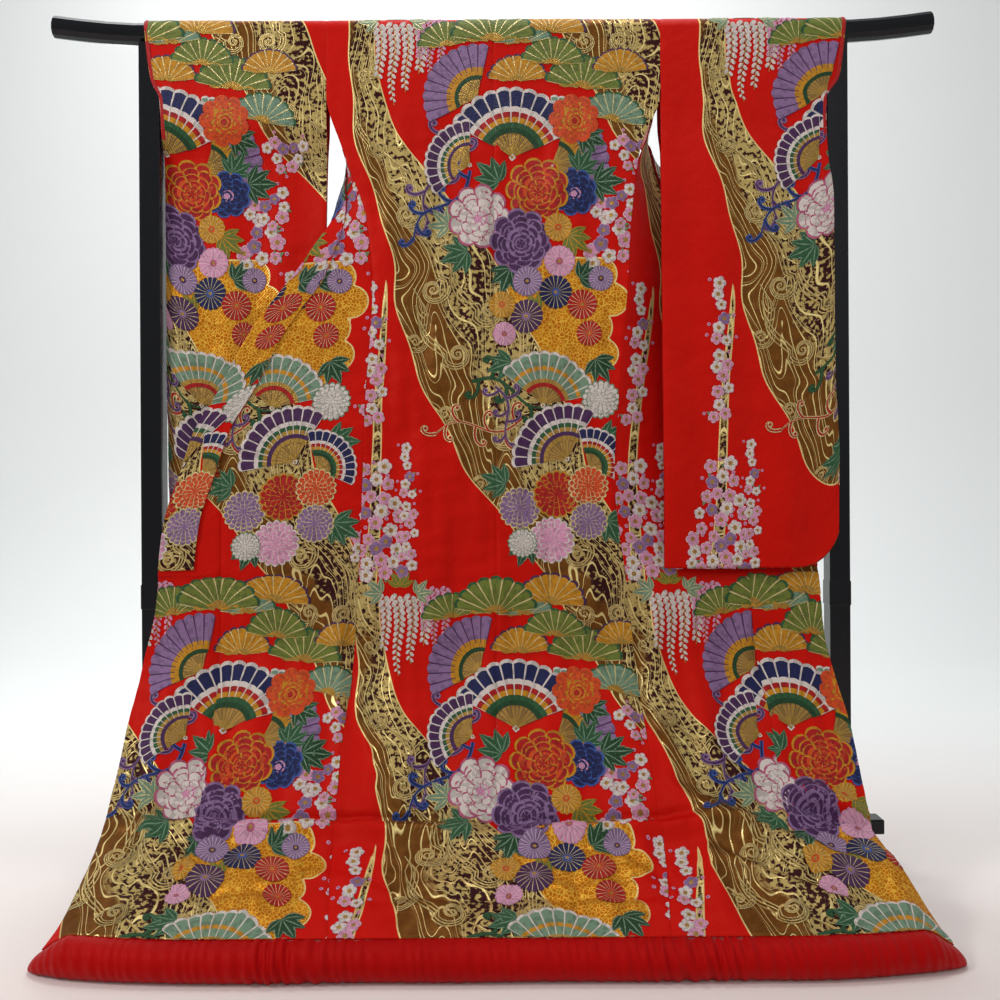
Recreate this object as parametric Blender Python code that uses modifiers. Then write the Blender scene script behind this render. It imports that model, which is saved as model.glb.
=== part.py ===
"""Uchikake wedding kimono hung, back to the viewer, over a black lacquered kimono stand.

The back panels fall in front of the rod. The front panels start behind it, turn at the
side openings and lie opened outwards beside the back, so that the outer faces show as
one sheet from front edge to front edge, down to a padded hem roll on the floor.
Units are metres, +Z is up, +X is to the viewer's right, and the viewer looks along +Y.
"""

import bisect
import math

import bmesh
import bpy
from mathutils import Vector

# Cloth
WALL = 0.002
SEAM = 0.0003
CLOTH_LENGTH = 1.75
SIDE_JOIN = 0.38
LAYER = WALL + 0.0013

# Stand
ROD_Y = 0.125
ROD_Z = 1.573
ROD_RADIUS = 0.020
ROD_HALF = 0.820
ROD_RISE_FROM = 0.670
ROD_RISE = 0.015
UPRIGHT_X = 0.640
UPRIGHT_WIDTH = 0.038
UPRIGHT_DEPTH = 0.036
BAND_Z = 0.520
BAND_HEIGHT = 0.046
BAND_PROUD = 0.0012
FOOT_LENGTH = 0.400
FOOT_WIDTH = 0.060
FOOT_HEIGHT = 0.057
RAIL_HALF = 0.735
RAIL_DEPTH = 0.043
RAIL_HEIGHT = 0.028

# Hem roll
ROLL_TOP = 0.0524
ROLL_DEPTH = 0.066
ROLL_TIP_X = 0.700
ROLL_FORWARD = 0.4170
ROLL_TAPER = 0.62

OVER_ROD = ROD_RADIUS + 2 * SEAM + WALL / 2
QUARTER = OVER_ROD * math.pi / 2

# Lean of the hanging cloth from the vertical, by its length from the shoulder
LEAN_DEGREES = (
    # length, degrees
    (0.00, 0.0),
    (1.14, 0.0),
    (1.22, 16.0),
    (1.30, 31.0),
    (1.42, 38.0),
    (1.50, 48.0),
    (1.54, 65.0),
    (1.64, 68.0),
    (1.75, 68.0),
)

# Half widths of the back at its side seams, by length from the shoulder
SIDE_SEAMS = (
    # length, left, right
    (0.000, 0.3100, 0.3100),
    (0.155, 0.3100, 0.3100),
    (0.260, 0.2800, 0.2720),
    (0.395, 0.2360, 0.2540),
    (0.526, 0.2260, 0.2460),
    (0.714, 0.2400, 0.2300),
    (0.865, 0.2460, 0.2200),
    (1.066, 0.2560, 0.2420),
    (1.220, 0.2660, 0.2570),
    (1.390, 0.2760, 0.2700),
    (1.540, 0.2720, 0.2740),
    (1.750, 0.2500, 0.2550),
)

# The armhole edge of a front, behind the back, by length from the shoulder
ARMHOLE_EDGE = (
    # length, half width, behind the rod's axis, height
    (0.040, 0.3100, 0.0213, 1.568),
    (0.100, 0.3100, 0.0213, 1.510),
    (0.160, 0.3080, 0.0190, 1.450),
    (0.220, 0.2920, 0.0110, 1.385),
    (0.300, 0.2640, -0.006, 1.305),
)

# The opened front edge of each side, down to where it joins the common fall
FRONT_EDGE_LEFT = (
    # length, half width, behind the rod's axis, height
    (0.040, 0.0950, 0.0213, 1.568),
    (0.100, 0.1700, 0.0900, 1.520),
    (0.170, 0.2350, 0.1250, 1.450),
    (0.240, 0.2750, 0.1050, 1.370),
    (0.300, 0.2880, 0.0550, 1.300),
    (0.360, 0.2960, 0.0000, 1.235),
    (0.440, 0.3405, -0.030, 1.155),
    (0.600, 0.4550, -0.036, 1.000),
    (0.700, 0.5080, -0.037, 0.900),
    (0.775, 0.5530, -0.038, 0.825),
    (0.845, 0.5770, -0.038, 0.755),
    (0.945, 0.6100, -0.038, 0.655),
    (1.040, 0.6220, -0.038, 0.560),
)
FRONT_EDGE_RIGHT = (
    # length, half width, behind the rod's axis, height
    (0.040, 0.0950, 0.0213, 1.568),
    (0.100, 0.1700, 0.0900, 1.520),
    (0.170, 0.2500, 0.1300, 1.450),
    (0.240, 0.3200, 0.1300, 1.370),
    (0.300, 0.3600, 0.1100, 1.300),
    (0.360, 0.3950, 0.0900, 1.235),
    (0.440, 0.4400, 0.0700, 1.155),
    (0.600, 0.5100, 0.0500, 1.000),
    (0.700, 0.5450, 0.0380, 0.900),
    (0.800, 0.5750, 0.0260, 0.800),
    (0.900, 0.5920, 0.0130, 0.700),
    (0.980, 0.5980, 0.0000, 0.620),
    (1.040, 0.6000, -0.012, 0.560),
)

# Half widths of the front edges below that, by length from the shoulder
FRONT_EDGE_LOW = (
    # length, left, right
    (1.040, 0.6220, 0.6000),
    (1.165, 0.6450, 0.6100),
    (1.220, 0.6550, 0.6200),
    (1.350, 0.6670, 0.6370),
    (1.450, 0.6670, 0.6370),
    (1.520, 0.6640, 0.6300),
    (1.620, 0.6560, 0.6430),
    (1.700, 0.6600, 0.6640),
    (1.750, 0.6800, 0.6820),
)

# Where the overlap panels are sewn on
OKUMI_SEAM = (
    # length, left, right
    (0.600, 0.4300, 0.4450),
    (0.720, 0.4900, 0.4620),
    (0.850, 0.5060, 0.4680),
    (1.030, 0.5080, 0.4700),
    (1.150, 0.5130, 0.4760),
    (1.330, 0.5130, 0.4940),
    (1.520, 0.5060, 0.4860),
    (1.750, 0.5150, 0.5200),
)
OKUMI_START = {-1: 0.86, 1: 0.74}
COLLAR_WIDTH = 0.065
COLLAR_END = 1.030

# Slack that stands off behind a front between its side seam and its front edge
SLACK = (
    # length, left, right
    (0.040, 0.000, 0.000),
    (0.110, 0.012, 0.012),
    (0.200, 0.000, 0.000),
    (0.360, 0.000, 0.010),
    (0.600, 0.000, 0.026),
    (0.900, 0.000, 0.022),
    (1.100, 0.000, 0.000),
)

# The largest folds, as ridges or troughs between two points of the hanging cloth
FOLDS = (
    # x and length at one end, x and length at the other end, half breadth, height
    (-0.62, 1.500, -0.05, 1.520, 0.022, 0.011),
    (0.02, 1.530, 0.60, 1.500, 0.022, 0.012),
    (-0.20, 1.330, -0.14, 1.440, 0.016, 0.006),
    (0.30, 1.440, 0.66, 1.640, 0.030, 0.020),
    (0.34, 1.560, 0.60, 1.720, 0.026, 0.012),
    (0.14, 1.040, 0.28, 1.460, 0.026, 0.010),
    (-0.30, 0.900, -0.27, 1.500, 0.020, 0.008),
    (0.30, 1.000, 0.30, 1.420, 0.020, 0.009),
    (0.52, 1.440, 0.62, 1.520, 0.024, 0.018),
    (-0.58, 1.200, -0.60, 1.480, 0.030, 0.012),
    (-0.44, 1.560, -0.36, 1.720, 0.026, 0.008),
    (-0.05, 1.100, -0.10, 1.450, 0.030, -0.007),
    (0.44, 1.060, 0.40, 1.420, 0.030, -0.008),
)

# Sleeves: the place of the two layers and their edges, by height
SLEEVE_RIGHT = (
    # height, inner edge, outer edge, forward of the rod's axis, half of the space between
    (0.560, 0.3110, 0.6300, 0.0350, 0.0040),
    (0.770, 0.3105, 0.6330, 0.0340, 0.0042),
    (0.950, 0.3100, 0.6270, 0.0300, 0.0044),
    (1.250, 0.3100, 0.6260, 0.0280, 0.0048),
    (1.330, 0.3103, 0.6185, 0.0220, 0.0060),
    (1.400, 0.3106, 0.6170, 0.0020, 0.0200),
    (1.440, 0.3106, 0.6185, 0.0000, 0.0216),
    (1.480, 0.3106, 0.6420, 0.0000, 0.0216),
    (1.600, 0.3106, 0.6570, 0.0000, 0.0216),
)
SLEEVE_LEFT = (
    # height, inner edge, outer edge, forward of the rod's axis, half of the space between
    (0.560, 0.3180, 0.6120, -0.008, 0.0040),
    (0.770, 0.3180, 0.6140, -0.008, 0.0042),
    (0.950, 0.3180, 0.6160, -0.008, 0.0044),
    (1.250, 0.3150, 0.6170, -0.008, 0.0048),
    (1.330, 0.3130, 0.6180, -0.008, 0.0060),
    (1.400, 0.3106, 0.6170, 0.0000, 0.0200),
    (1.440, 0.3106, 0.6185, 0.0000, 0.0216),
    (1.480, 0.3106, 0.6350, 0.0000, 0.0216),
    (1.600, 0.3106, 0.6490, 0.0000, 0.0216),
)
SLEEVE_BOTTOM = 0.570
SLEEVE_CORNER = 0.075
MOUTH_LENGTH = 0.23
SLEEVE_COLUMNS = (0.0, 0.14, 0.30, 0.47, 0.64, 0.80, 0.88, 0.94, 1.0)
EDGE_SPACE = 0.0026

# Colours as linear red, green and blue, with roughness and metallic
FINISHES = {
    "silk_brocade": ((0.30, 0.13, 0.035), 0.45, 0.15),
    "red_satin": ((0.55, 0.006, 0.006), 0.35, 0.0),
    "black_lacquer": ((0.004, 0.005, 0.008), 0.18, 0.0),
}


def read(table, at, column=1):
    """A column of a table at one place, by a smooth curve that never overshoots its rows."""
    places = [row[0] for row in table]
    if at <= places[0]:
        return table[0][column]
    if at >= places[-1]:
        return table[-1][column]
    i = bisect.bisect_right(places, at) - 1
    slopes = []
    for j in (i - 1, i, i + 1):
        j = min(max(j, 0), len(table) - 2)
        run = places[j + 1] - places[j]
        slopes.append((table[j + 1][column] - table[j][column]) / run)
    before, here, after = slopes
    start = 0.0 if before * here <= 0 else 2 * before * here / (before + here)
    end = 0.0 if here * after <= 0 else 2 * here * after / (here + after)
    run = places[i + 1] - places[i]
    t = (at - places[i]) / run
    low, high = table[i][column], table[i + 1][column]
    return (
        low * (1 + 2 * t) * (1 - t) ** 2
        + high * t * t * (3 - 2 * t)
        + start * run * t * (1 - t) ** 2
        - end * run * t * t * (1 - t)
    )


def smooth(low, high, value):
    """0 below low, 1 above high, and a soft step between."""
    t = min(max((value - low) / (high - low), 0.0), 1.0)
    return t * t * (3 - 2 * t)


def side_column(side):
    """The column of a table that holds the left or the right side."""
    return 1 if side < 0 else 2


def fall_rows(step=0.005):
    """Length, way forward and height of the cloth that hangs from the rod's front."""
    rows = [(QUARTER, OVER_ROD, ROD_Z)]
    while rows[-1][0] < CLOTH_LENGTH:
        length, forward, height = rows[-1]
        lean = math.radians(read(LEAN_DEGREES, length + step / 2))
        forward += step * math.sin(lean)
        height -= step * math.cos(lean)
        rows.append((length + step, forward, height))
    return rows


FALL = fall_rows()


def fall(length):
    """(forward, height, lean) of the cloth at a length from the shoulder fold."""
    if length < QUARTER:
        turn = length / OVER_ROD
        return OVER_ROD * math.sin(turn), ROD_Z + OVER_ROD * math.cos(turn), turn - math.pi / 2
    place = min((length - QUARTER) / (FALL[1][0] - FALL[0][0]), len(FALL) - 1.001)
    i = int(place)
    part = place - i
    forward = FALL[i][1] + part * (FALL[i + 1][1] - FALL[i][1])
    height = FALL[i][2] + part * (FALL[i + 1][2] - FALL[i][2])
    return forward, height, math.radians(read(LEAN_DEGREES, length))


def fold_height(x, length):
    """How far the largest folds lift the cloth off its plain fall."""
    lift = 0.0
    for x0, length0, x1, length1, breadth, height in FOLDS:
        along = Vector((x1 - x0, length1 - length0))
        from_start = Vector((x - x0, length - length0))
        t = from_start.dot(along) / along.length_squared
        across = abs(from_start.x * along.y - from_start.y * along.x) / along.length
        ends = smooth(-0.15, 0.25, t) * smooth(-0.15, 0.25, 1 - t)
        lift += height * ends * math.exp(-((across / breadth) ** 2))
    return lift * smooth(0.10, 0.30, length) * smooth(0.0, 0.05, CLOTH_LENGTH - length)


def roll_end(x):
    """0 along the hem roll and 1 at its tips, where it is thinnest."""
    return smooth(0.90, 1.0, abs(x) / ROLL_TIP_X)


def hung(x, length):
    """A point of the cloth that hangs in front of the rod."""
    forward, height, lean = fall(length)
    outer = max(abs(x) - 0.42, 0.0) / 0.28
    forward -= (forward - OVER_ROD) * 0.085 * outer * outer if length > QUARTER else 0.0
    height -= ROLL_TOP * ROLL_TAPER * roll_end(x) * smooth(1.55, CLOTH_LENGTH, length)
    lift = fold_height(x, length)
    return Vector(
        (x, ROD_Y - forward - lift * math.cos(lean), height + lift * math.sin(lean))
    )


def back_point(side, across, length):
    """A point of a back panel, from the centre seam at 0 to the side seam at 1."""
    inner = SEAM / 2
    outer = read(SIDE_SEAMS, length, side_column(side)) - SEAM / 2
    return hung(side * (inner + across * (outer - inner)), length)


def side_point(side, length):
    """The edge of a front that meets the back or the sleeve."""
    if length < ARMHOLE_EDGE[0][0]:
        return behind_rod(side * ARMHOLE_EDGE[0][1], length)
    turned = 1 - smooth(0.95, 1.25, length)
    seam = read(SIDE_SEAMS, length, side_column(side)) + 2 * SEAM + 4 * SEAM * turned
    joined = hung(side * seam, length)
    joined.y += 4 * SEAM * turned
    edge = Vector(
        (
            side * read(ARMHOLE_EDGE, length, 1),
            ROD_Y + read(ARMHOLE_EDGE, length, 2),
            read(ARMHOLE_EDGE, length, 3),
        )
    )
    sideways = edge.lerp(joined, smooth(0.22, 0.32, length))
    inwards = edge.lerp(joined, smooth(0.26, SIDE_JOIN + 0.03, length))
    return Vector((sideways.x, inwards.y, inwards.z))


def behind_rod(x, length):
    """A point where a front passes over the back of the rod."""
    turn = min((length + SEAM / 2) / OVER_ROD, math.pi / 2)
    return Vector((x, ROD_Y + OVER_ROD * math.sin(turn), ROD_Z + OVER_ROD * math.cos(turn)))


def edge_point(side, length):
    """The free front edge of an opened front."""
    table = FRONT_EDGE_LEFT if side < 0 else FRONT_EDGE_RIGHT
    if length < table[0][0]:
        return behind_rod(side * table[0][1], length)
    high = Vector(
        (
            side * read(table, length, 1),
            ROD_Y + read(table, length, 2),
            read(table, length, 3),
        )
    )
    low = hung(side * read(FRONT_EDGE_LOW, length, side_column(side)), length)
    return high.lerp(low, smooth(1.02, 1.20, length))


def front_point(side, across, length):
    """A point of an opened front, from its side seam at 0 to its front edge at 1."""
    start = side_point(side, length)
    end = edge_point(side, length)
    point = start.lerp(end, across)
    point.y += read(SLACK, length, side_column(side)) * 4 * across * (1 - across)
    if length > SIDE_JOIN:
        common = hung(point.x, length)
        return point.lerp(common, smooth(1.02, 1.20, length))
    return point


def okumi_share(side, length):
    """Where the overlap panel's seam lies, as a share of the opened front."""
    start = side_point(side, length).x
    end = edge_point(side, length).x
    seam = side * read(OKUMI_SEAM, length, side_column(side))
    return min(max((seam - start) / (end - start), 0.05), 0.985)


def collar_share(side, length):
    """Where the collar's inner edge lies, as a share of the opened front."""
    row = (edge_point(side, length) - side_point(side, length)).length
    return 1 - min(COLLAR_WIDTH / row, 0.42)


def moved_out(point_at, across, length, distance):
    """A point of a panel, moved off its outer face."""
    step = 0.002
    along = point_at(across + step, length) - point_at(across - step, length)
    down = point_at(across, length + step) - point_at(across, length - step)
    return point_at(across, length) + along.cross(down).normalized() * distance


def finish_of(name):
    """The material of a finish, made once."""
    known = bpy.data.materials.get(name)
    if known:
        return known
    colour, roughness, metallic = FINISHES[name]
    material = bpy.data.materials.new(name)
    material.use_nodes = True
    shader = material.node_tree.nodes["Principled BSDF"]
    shader.inputs["Base Color"].default_value = (*colour, 1.0)
    shader.inputs["Roughness"].default_value = roughness
    shader.inputs["Metallic"].default_value = metallic
    return material


def add_object(name, mesh, finish, collection):
    """Puts a mesh in the collection as a named object with its own finish."""
    mesh.materials.append(finish_of(finish))
    obj = bpy.data.objects.new(name, mesh)
    collection.objects.link(obj)
    return obj


def mesh_of(name, bm, smooth_faces=True):
    """Turns a bmesh into a mesh."""
    mesh = bpy.data.meshes.new(name)
    bm.to_mesh(mesh)
    bm.free()
    if smooth_faces:
        mesh.shade_smooth()
    return mesh


def cloth_sheet(name, columns, rows, place, finish, collection, closed=False):
    """A wall of cloth: a grid whose points place(u, v) sets, given its thickness."""
    bm = bmesh.new()
    bmesh.ops.create_grid(bm, x_segments=columns, y_segments=rows, size=0.5)
    for vert in bm.verts:
        vert.co = place(vert.co.x + 0.5, vert.co.y + 0.5)
    if closed:
        bmesh.ops.remove_doubles(bm, verts=bm.verts, dist=0.00001)
    bmesh.ops.recalc_face_normals(bm, faces=bm.faces)
    obj = add_object(name, mesh_of(name, bm), finish, collection)
    wall = obj.modifiers.new("Wall", "SOLIDIFY")
    wall.thickness = WALL
    wall.offset = 0.0
    wall.use_even_offset = True
    return obj


def panel_rows():
    """Lengths of the rows that every panel shares, closer together where the cloth bends."""
    rows = [SEAM / 2] + [QUARTER * i / 6 for i in range(1, 7)]
    for end, step in ((0.46, 0.03), (1.10, 0.05), (CLOTH_LENGTH, 0.028)):
        count = max(round((end - rows[-1]) / step), 1)
        first = rows[-1]
        rows += [first + (end - first) * i / count for i in range(1, count + 1)]
    return rows


PANEL_ROWS = panel_rows()


def rows_between(start, end=CLOTH_LENGTH):
    """The shared rows from one length to another."""
    return [row for row in PANEL_ROWS if start <= row <= end + SEAM]


def row_at(rows, v):
    """The row that a grid's place from 0 to 1 stands for."""
    return rows[round(v * (len(rows) - 1))]


def build_back(side, collection):
    """One back panel, from the shoulder fold to the hem roll."""
    name = "back_left" if side < 0 else "back_right"

    def place(u, v):
        return back_point(side, u, row_at(PANEL_ROWS, v))

    cloth_sheet(name, 8, len(PANEL_ROWS) - 1, place, "silk_brocade", collection)


def build_front(side, collection):
    """One front panel, from behind the rod to the hem roll."""
    name = "front_left" if side < 0 else "front_right"

    def place(u, v):
        length = row_at(PANEL_ROWS, v)
        share = okumi_share(side, length) - SEAM
        whole = 1 - smooth(OKUMI_START[side] - 0.16, OKUMI_START[side], length)
        return front_point(side, u * (share + (1 - share) * whole), length)

    cloth_sheet(name, 7, len(PANEL_ROWS) - 1, place, "silk_brocade", collection)


def build_okumi(side, collection):
    """One overlap panel, sewn to the front panel's edge below the collar's slant."""
    name = "okumi_left" if side < 0 else "okumi_right"
    rows = rows_between(OKUMI_START[side])

    def place(u, v):
        length = row_at(rows, v)
        width = abs(edge_point(side, length).x - side_point(side, length).x)
        start = okumi_share(side, length) + 1.5 * SEAM / width
        return front_point(side, start + u * (1 - start), length)

    cloth_sheet(name, 4, len(rows) - 1, place, "silk_brocade", collection)


def build_collar(side, collection):
    """The long band of the collar on one opened front edge."""
    name = "collar_left" if side < 0 else "collar_right"
    rows = rows_between(QUARTER, COLLAR_END)

    def panel(across, length):
        return front_point(side, across, length)

    def place(u, v):
        length = row_at(rows, v)
        inner = collar_share(side, length)
        return moved_out(panel, inner + u * (1.0 - inner), length, -side * LAYER)

    cloth_sheet(name, 3, len(rows) - 1, place, "silk_brocade", collection)


def build_collar_back(collection):
    """The part of the collar round the back of the neck, hung behind the rod."""
    half = FRONT_EDGE_LEFT[0][1] - 2 * SEAM

    def place(u, v):
        x = (u - 0.5) * 2 * half
        return behind_rod(x, QUARTER) + Vector((0, 0.001 + 0.012 * v, -v * COLLAR_WIDTH))

    cloth_sheet("collar_back", 6, 4, place, "silk_brocade", collection)


def sleeve_bottom(share):
    """Height of a sleeve's lower edge, with a rounded outer corner."""
    width = 0.310
    into = share * width - (width - SLEEVE_CORNER)
    if into <= 0:
        return SLEEVE_BOTTOM
    return SLEEVE_BOTTOM + SLEEVE_CORNER - math.sqrt(max(SLEEVE_CORNER**2 - into * into, 0.0))


def sleeve_loop(share, turn, table):
    """A point round a sleeve: front layer up, over the rod, and rear layer down."""
    low = min(sleeve_bottom(share), SLEEVE_BOTTOM + SLEEVE_CORNER * 0.85) + 0.004
    arc = 0.11
    face = 1.0 if turn <= 0.5 else -1.0
    from_bottom = turn if turn <= 0.5 else 1 - turn
    under = 0.04
    if from_bottom > 0.5 - arc:
        angle = (0.5 - from_bottom) / arc * math.pi / 2
        height = ROD_Z + OVER_ROD * math.cos(angle)
        forward = face * OVER_ROD * math.sin(angle)
        x = read(table, height, 1) + share * (read(table, height, 2) - read(table, height, 1))
        return x, forward, height
    part = max(from_bottom - under, 0.0) / (0.5 - arc - under)
    height = low + (ROD_Z - low) * part
    space = read(table, height, 4)
    mouth = smooth(ROD_Z - MOUTH_LENGTH - 0.06, ROD_Z - MOUTH_LENGTH + 0.02, height)
    closing = smooth(0.86, 1.0, share) * (1 - mouth)
    space += (EDGE_SPACE - space) * closing
    if from_bottom < under:
        angle = from_bottom / under * math.pi / 2
        height = low - space * math.cos(angle)
        space *= math.sin(angle)
    forward = read(table, height, 3) + face * space
    x = read(table, height, 1) + share * (read(table, height, 2) - read(table, height, 1))
    return x, forward, height


def build_sleeve(side, collection):
    """One long sleeve: a flat tube over the rod, open at the mouth and towards the body."""
    name = "sleeve_left" if side < 0 else "sleeve_right"
    table = SLEEVE_LEFT if side < 0 else SLEEVE_RIGHT

    def place(u, v):
        share = row_at(SLEEVE_COLUMNS, u)
        x, forward, height = sleeve_loop(share, v % 1.0, table)
        return Vector((side * x, ROD_Y - forward, height))

    cloth_sheet(name, len(SLEEVE_COLUMNS) - 1, 54, place, "silk_brocade", collection, closed=True)


def roll_section(x, angle):
    """A point round the hem roll, which narrows towards its tips and rests flat."""
    fullness = 1 - ROLL_TAPER * roll_end(x)
    outer = max(abs(x) - 0.42, 0.0) / 0.28
    middle = ROLL_FORWARD - 0.034 * outer * outer
    height = ROLL_TOP * fullness
    up = height * (0.47 + 0.53 * math.sin(angle))
    forward = middle + ROLL_DEPTH / 2 * fullness * math.cos(angle)
    return Vector((x, ROD_Y - forward, max(up, 0.0)))


def build_hem_roll(collection):
    """The padded red hem roll along the whole lower edge."""
    around = 16
    along = 48
    bm = bmesh.new()
    bmesh.ops.create_grid(bm, x_segments=along, y_segments=around, size=0.5)
    for vert in bm.verts:
        x = vert.co.x * 2 * ROLL_TIP_X
        vert.co = roll_section(x, (vert.co.y + 0.5) * 2 * math.pi)
    bmesh.ops.remove_doubles(bm, verts=bm.verts, dist=0.00001)
    bmesh.ops.holes_fill(bm, edges=bm.edges, sides=around)
    bmesh.ops.recalc_face_normals(bm, faces=bm.faces)
    add_object("hem_roll", mesh_of("hem_roll", bm), "red_satin", collection)


def tidy_post(name, rows, centre, finish, collection, bevel):
    """An upright bar of square section, given as rows of height and half sizes."""
    bm = bmesh.new()
    bmesh.ops.create_grid(bm, x_segments=1, y_segments=1, size=1)
    height, half_x, half_y = rows[0]
    for vert in bm.verts:
        vert.co = Vector((vert.co.x * half_x, vert.co.y * half_y, height))
    bottom = list(bm.faces)
    top = bottom
    for height, half_x, half_y in rows[1:]:
        made = bmesh.ops.extrude_face_region(bm, geom=top)["geom"]
        if top is not bottom:
            bmesh.ops.delete(bm, geom=top, context="FACES_ONLY")
        for vert in [item for item in made if isinstance(item, bmesh.types.BMVert)]:
            vert.co = Vector(
                (math.copysign(half_x, vert.co.x), math.copysign(half_y, vert.co.y), height)
            )
        top = [item for item in made if isinstance(item, bmesh.types.BMFace)]
    bmesh.ops.translate(bm, verts=bm.verts, vec=centre)
    bmesh.ops.recalc_face_normals(bm, faces=bm.faces)
    obj = add_object(name, mesh_of(name, bm, False), finish, collection)
    edge = obj.modifiers.new("Edges", "BEVEL")
    edge.width = bevel
    edge.segments = 2
    edge.limit_method = "ANGLE"
    return obj


def build_stand(collection):
    """Rod, uprights, lower rail and feet, all of lacquered wood."""
    curve = bpy.data.curves.new("rod_top", "CURVE")
    curve.dimensions = "3D"
    curve.bevel_depth = ROD_RADIUS
    curve.bevel_resolution = 4
    curve.use_fill_caps = True
    spline = curve.splines.new("POLY")
    rise = (ROD_HALF, ROD_RISE_FROM + 0.10, ROD_RISE_FROM + 0.05, ROD_RISE_FROM, 0.0)
    stations = [-x for x in rise] + list(reversed(rise[:-1]))
    spline.points.add(len(stations) - 1)
    for point, x in zip(spline.points, stations):
        beyond = max(abs(x) - ROD_RISE_FROM, 0.0) / (ROD_HALF - ROD_RISE_FROM)
        point.co = (x, ROD_Y, ROD_Z + ROD_RISE * beyond**1.4, 1.0)
    curve.materials.append(finish_of("black_lacquer"))
    collection.objects.link(bpy.data.objects.new("rod_top", curve))

    half_x = UPRIGHT_WIDTH / 2
    half_y = UPRIGHT_DEPTH / 2
    low = FOOT_HEIGHT + SEAM
    high = ROD_Z - ROD_RADIUS - SEAM
    band = (BAND_Z - BAND_HEIGHT / 2, BAND_Z + BAND_HEIGHT / 2)
    for side in (-1, 1):
        word = "left" if side < 0 else "right"
        rows = (
            (low, half_x, half_y),
            (band[0], half_x, half_y),
            (band[0] + 0.001, half_x + BAND_PROUD, half_y + BAND_PROUD),
            (band[1] - 0.001, half_x + BAND_PROUD, half_y + BAND_PROUD),
            (band[1], half_x, half_y),
            (high, half_x, half_y),
        )
        centre = Vector((side * UPRIGHT_X, ROD_Y, 0.0))
        tidy_post("upright_" + word, rows, centre, "black_lacquer", collection, 0.0005)
        foot_rows = (
            (0.0, FOOT_WIDTH / 2, FOOT_LENGTH / 2),
            (FOOT_HEIGHT * 0.55, FOOT_WIDTH / 2, FOOT_LENGTH / 2),
            (FOOT_HEIGHT, FOOT_WIDTH / 2, FOOT_LENGTH / 2 - 0.030),
        )
        tidy_post("foot_" + word, foot_rows, centre, "black_lacquer", collection, 0.003)

    rail_y = ROD_Y + half_y + SEAM + RAIL_DEPTH / 2
    rail_rows = (
        (FOOT_HEIGHT + SEAM, RAIL_HALF, RAIL_DEPTH / 2),
        (FOOT_HEIGHT + SEAM + RAIL_HEIGHT, RAIL_HALF, RAIL_DEPTH / 2),
    )
    centre = Vector((0.0, rail_y, 0.0))
    tidy_post("rail_lower", rail_rows, centre, "black_lacquer", collection, 0.003)


def main():
    for obj in list(bpy.data.objects):
        bpy.data.objects.remove(obj, do_unlink=True)
    collection = bpy.data.collections.new("uchikake_on_stand")
    bpy.context.scene.collection.children.link(collection)
    for side in (-1, 1):
        build_back(side, collection)
        build_front(side, collection)
        build_okumi(side, collection)
        build_collar(side, collection)
        build_sleeve(side, collection)
    build_collar_back(collection)
    build_hem_roll(collection)
    build_stand(collection)


main()
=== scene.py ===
"""Looks of an uchikake wedding kimono, hung back outwards over its black lacquered stand.

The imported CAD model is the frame. The stand keeps its CAD shapes and gets its lacquer here.
Each cloth is a fine sheet on the CAD panel's own surface, with the brocade's ground as a
procedural material and its figures as raised silk and gold floats. Units are metres.
"""

from __future__ import annotations

import bisect
import logging
import math
from collections.abc import Callable
from dataclasses import dataclass, field
from enum import Enum
from functools import cached_property

import bmesh
import bpy
import numpy as np
from mathutils import Matrix, Vector

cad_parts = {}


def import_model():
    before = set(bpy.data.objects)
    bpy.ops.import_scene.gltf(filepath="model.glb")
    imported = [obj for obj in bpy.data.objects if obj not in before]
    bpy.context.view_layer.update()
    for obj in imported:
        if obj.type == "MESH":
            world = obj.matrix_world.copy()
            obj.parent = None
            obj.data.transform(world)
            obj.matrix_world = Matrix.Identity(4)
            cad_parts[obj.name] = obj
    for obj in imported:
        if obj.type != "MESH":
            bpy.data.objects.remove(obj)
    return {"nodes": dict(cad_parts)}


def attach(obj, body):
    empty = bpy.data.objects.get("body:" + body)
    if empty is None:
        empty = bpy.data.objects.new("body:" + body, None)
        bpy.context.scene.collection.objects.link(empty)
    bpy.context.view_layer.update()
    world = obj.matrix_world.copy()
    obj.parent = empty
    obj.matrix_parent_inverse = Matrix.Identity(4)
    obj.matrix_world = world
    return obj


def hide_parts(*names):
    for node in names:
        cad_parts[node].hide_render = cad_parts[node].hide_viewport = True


LOG = logging.getLogger("uchikake")

Rows = tuple[tuple[float, ...], ...]
Colour = tuple[float, float, float, float]
Steps = tuple[tuple[str, str, dict, dict], ...]

# Which output a kind of node gives here, where it isn't the first.
OUTPUTS = {"Mix": 2, "TexCoord": 3, "Attribute": 2, "TexWave": 1, "SeparateXYZ": 1}
PLACE = ("place", "TexCoord", {}, {})
BLEND = {"data_type": "RGBA"}
# The attributes of a sheet that say where the stream and the cloud are.
FIELDS = ("stream", "flow", "cloud")


def linear(hex_colour: str) -> Colour:
    """Turns an sRGB hex colour to linear.

    Args:
        hex_colour: Six hex digits.

    Returns:
        Red, green, blue and alpha.
    """
    parts = [int(hex_colour[i : i + 2], 16) / 255 for i in (0, 2, 4)]
    red, green, blue = (c / 12.92 if c <= 0.04045 else ((c + 0.055) / 1.055) ** 2.4 for c in parts)
    return red, green, blue, 1.0


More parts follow.
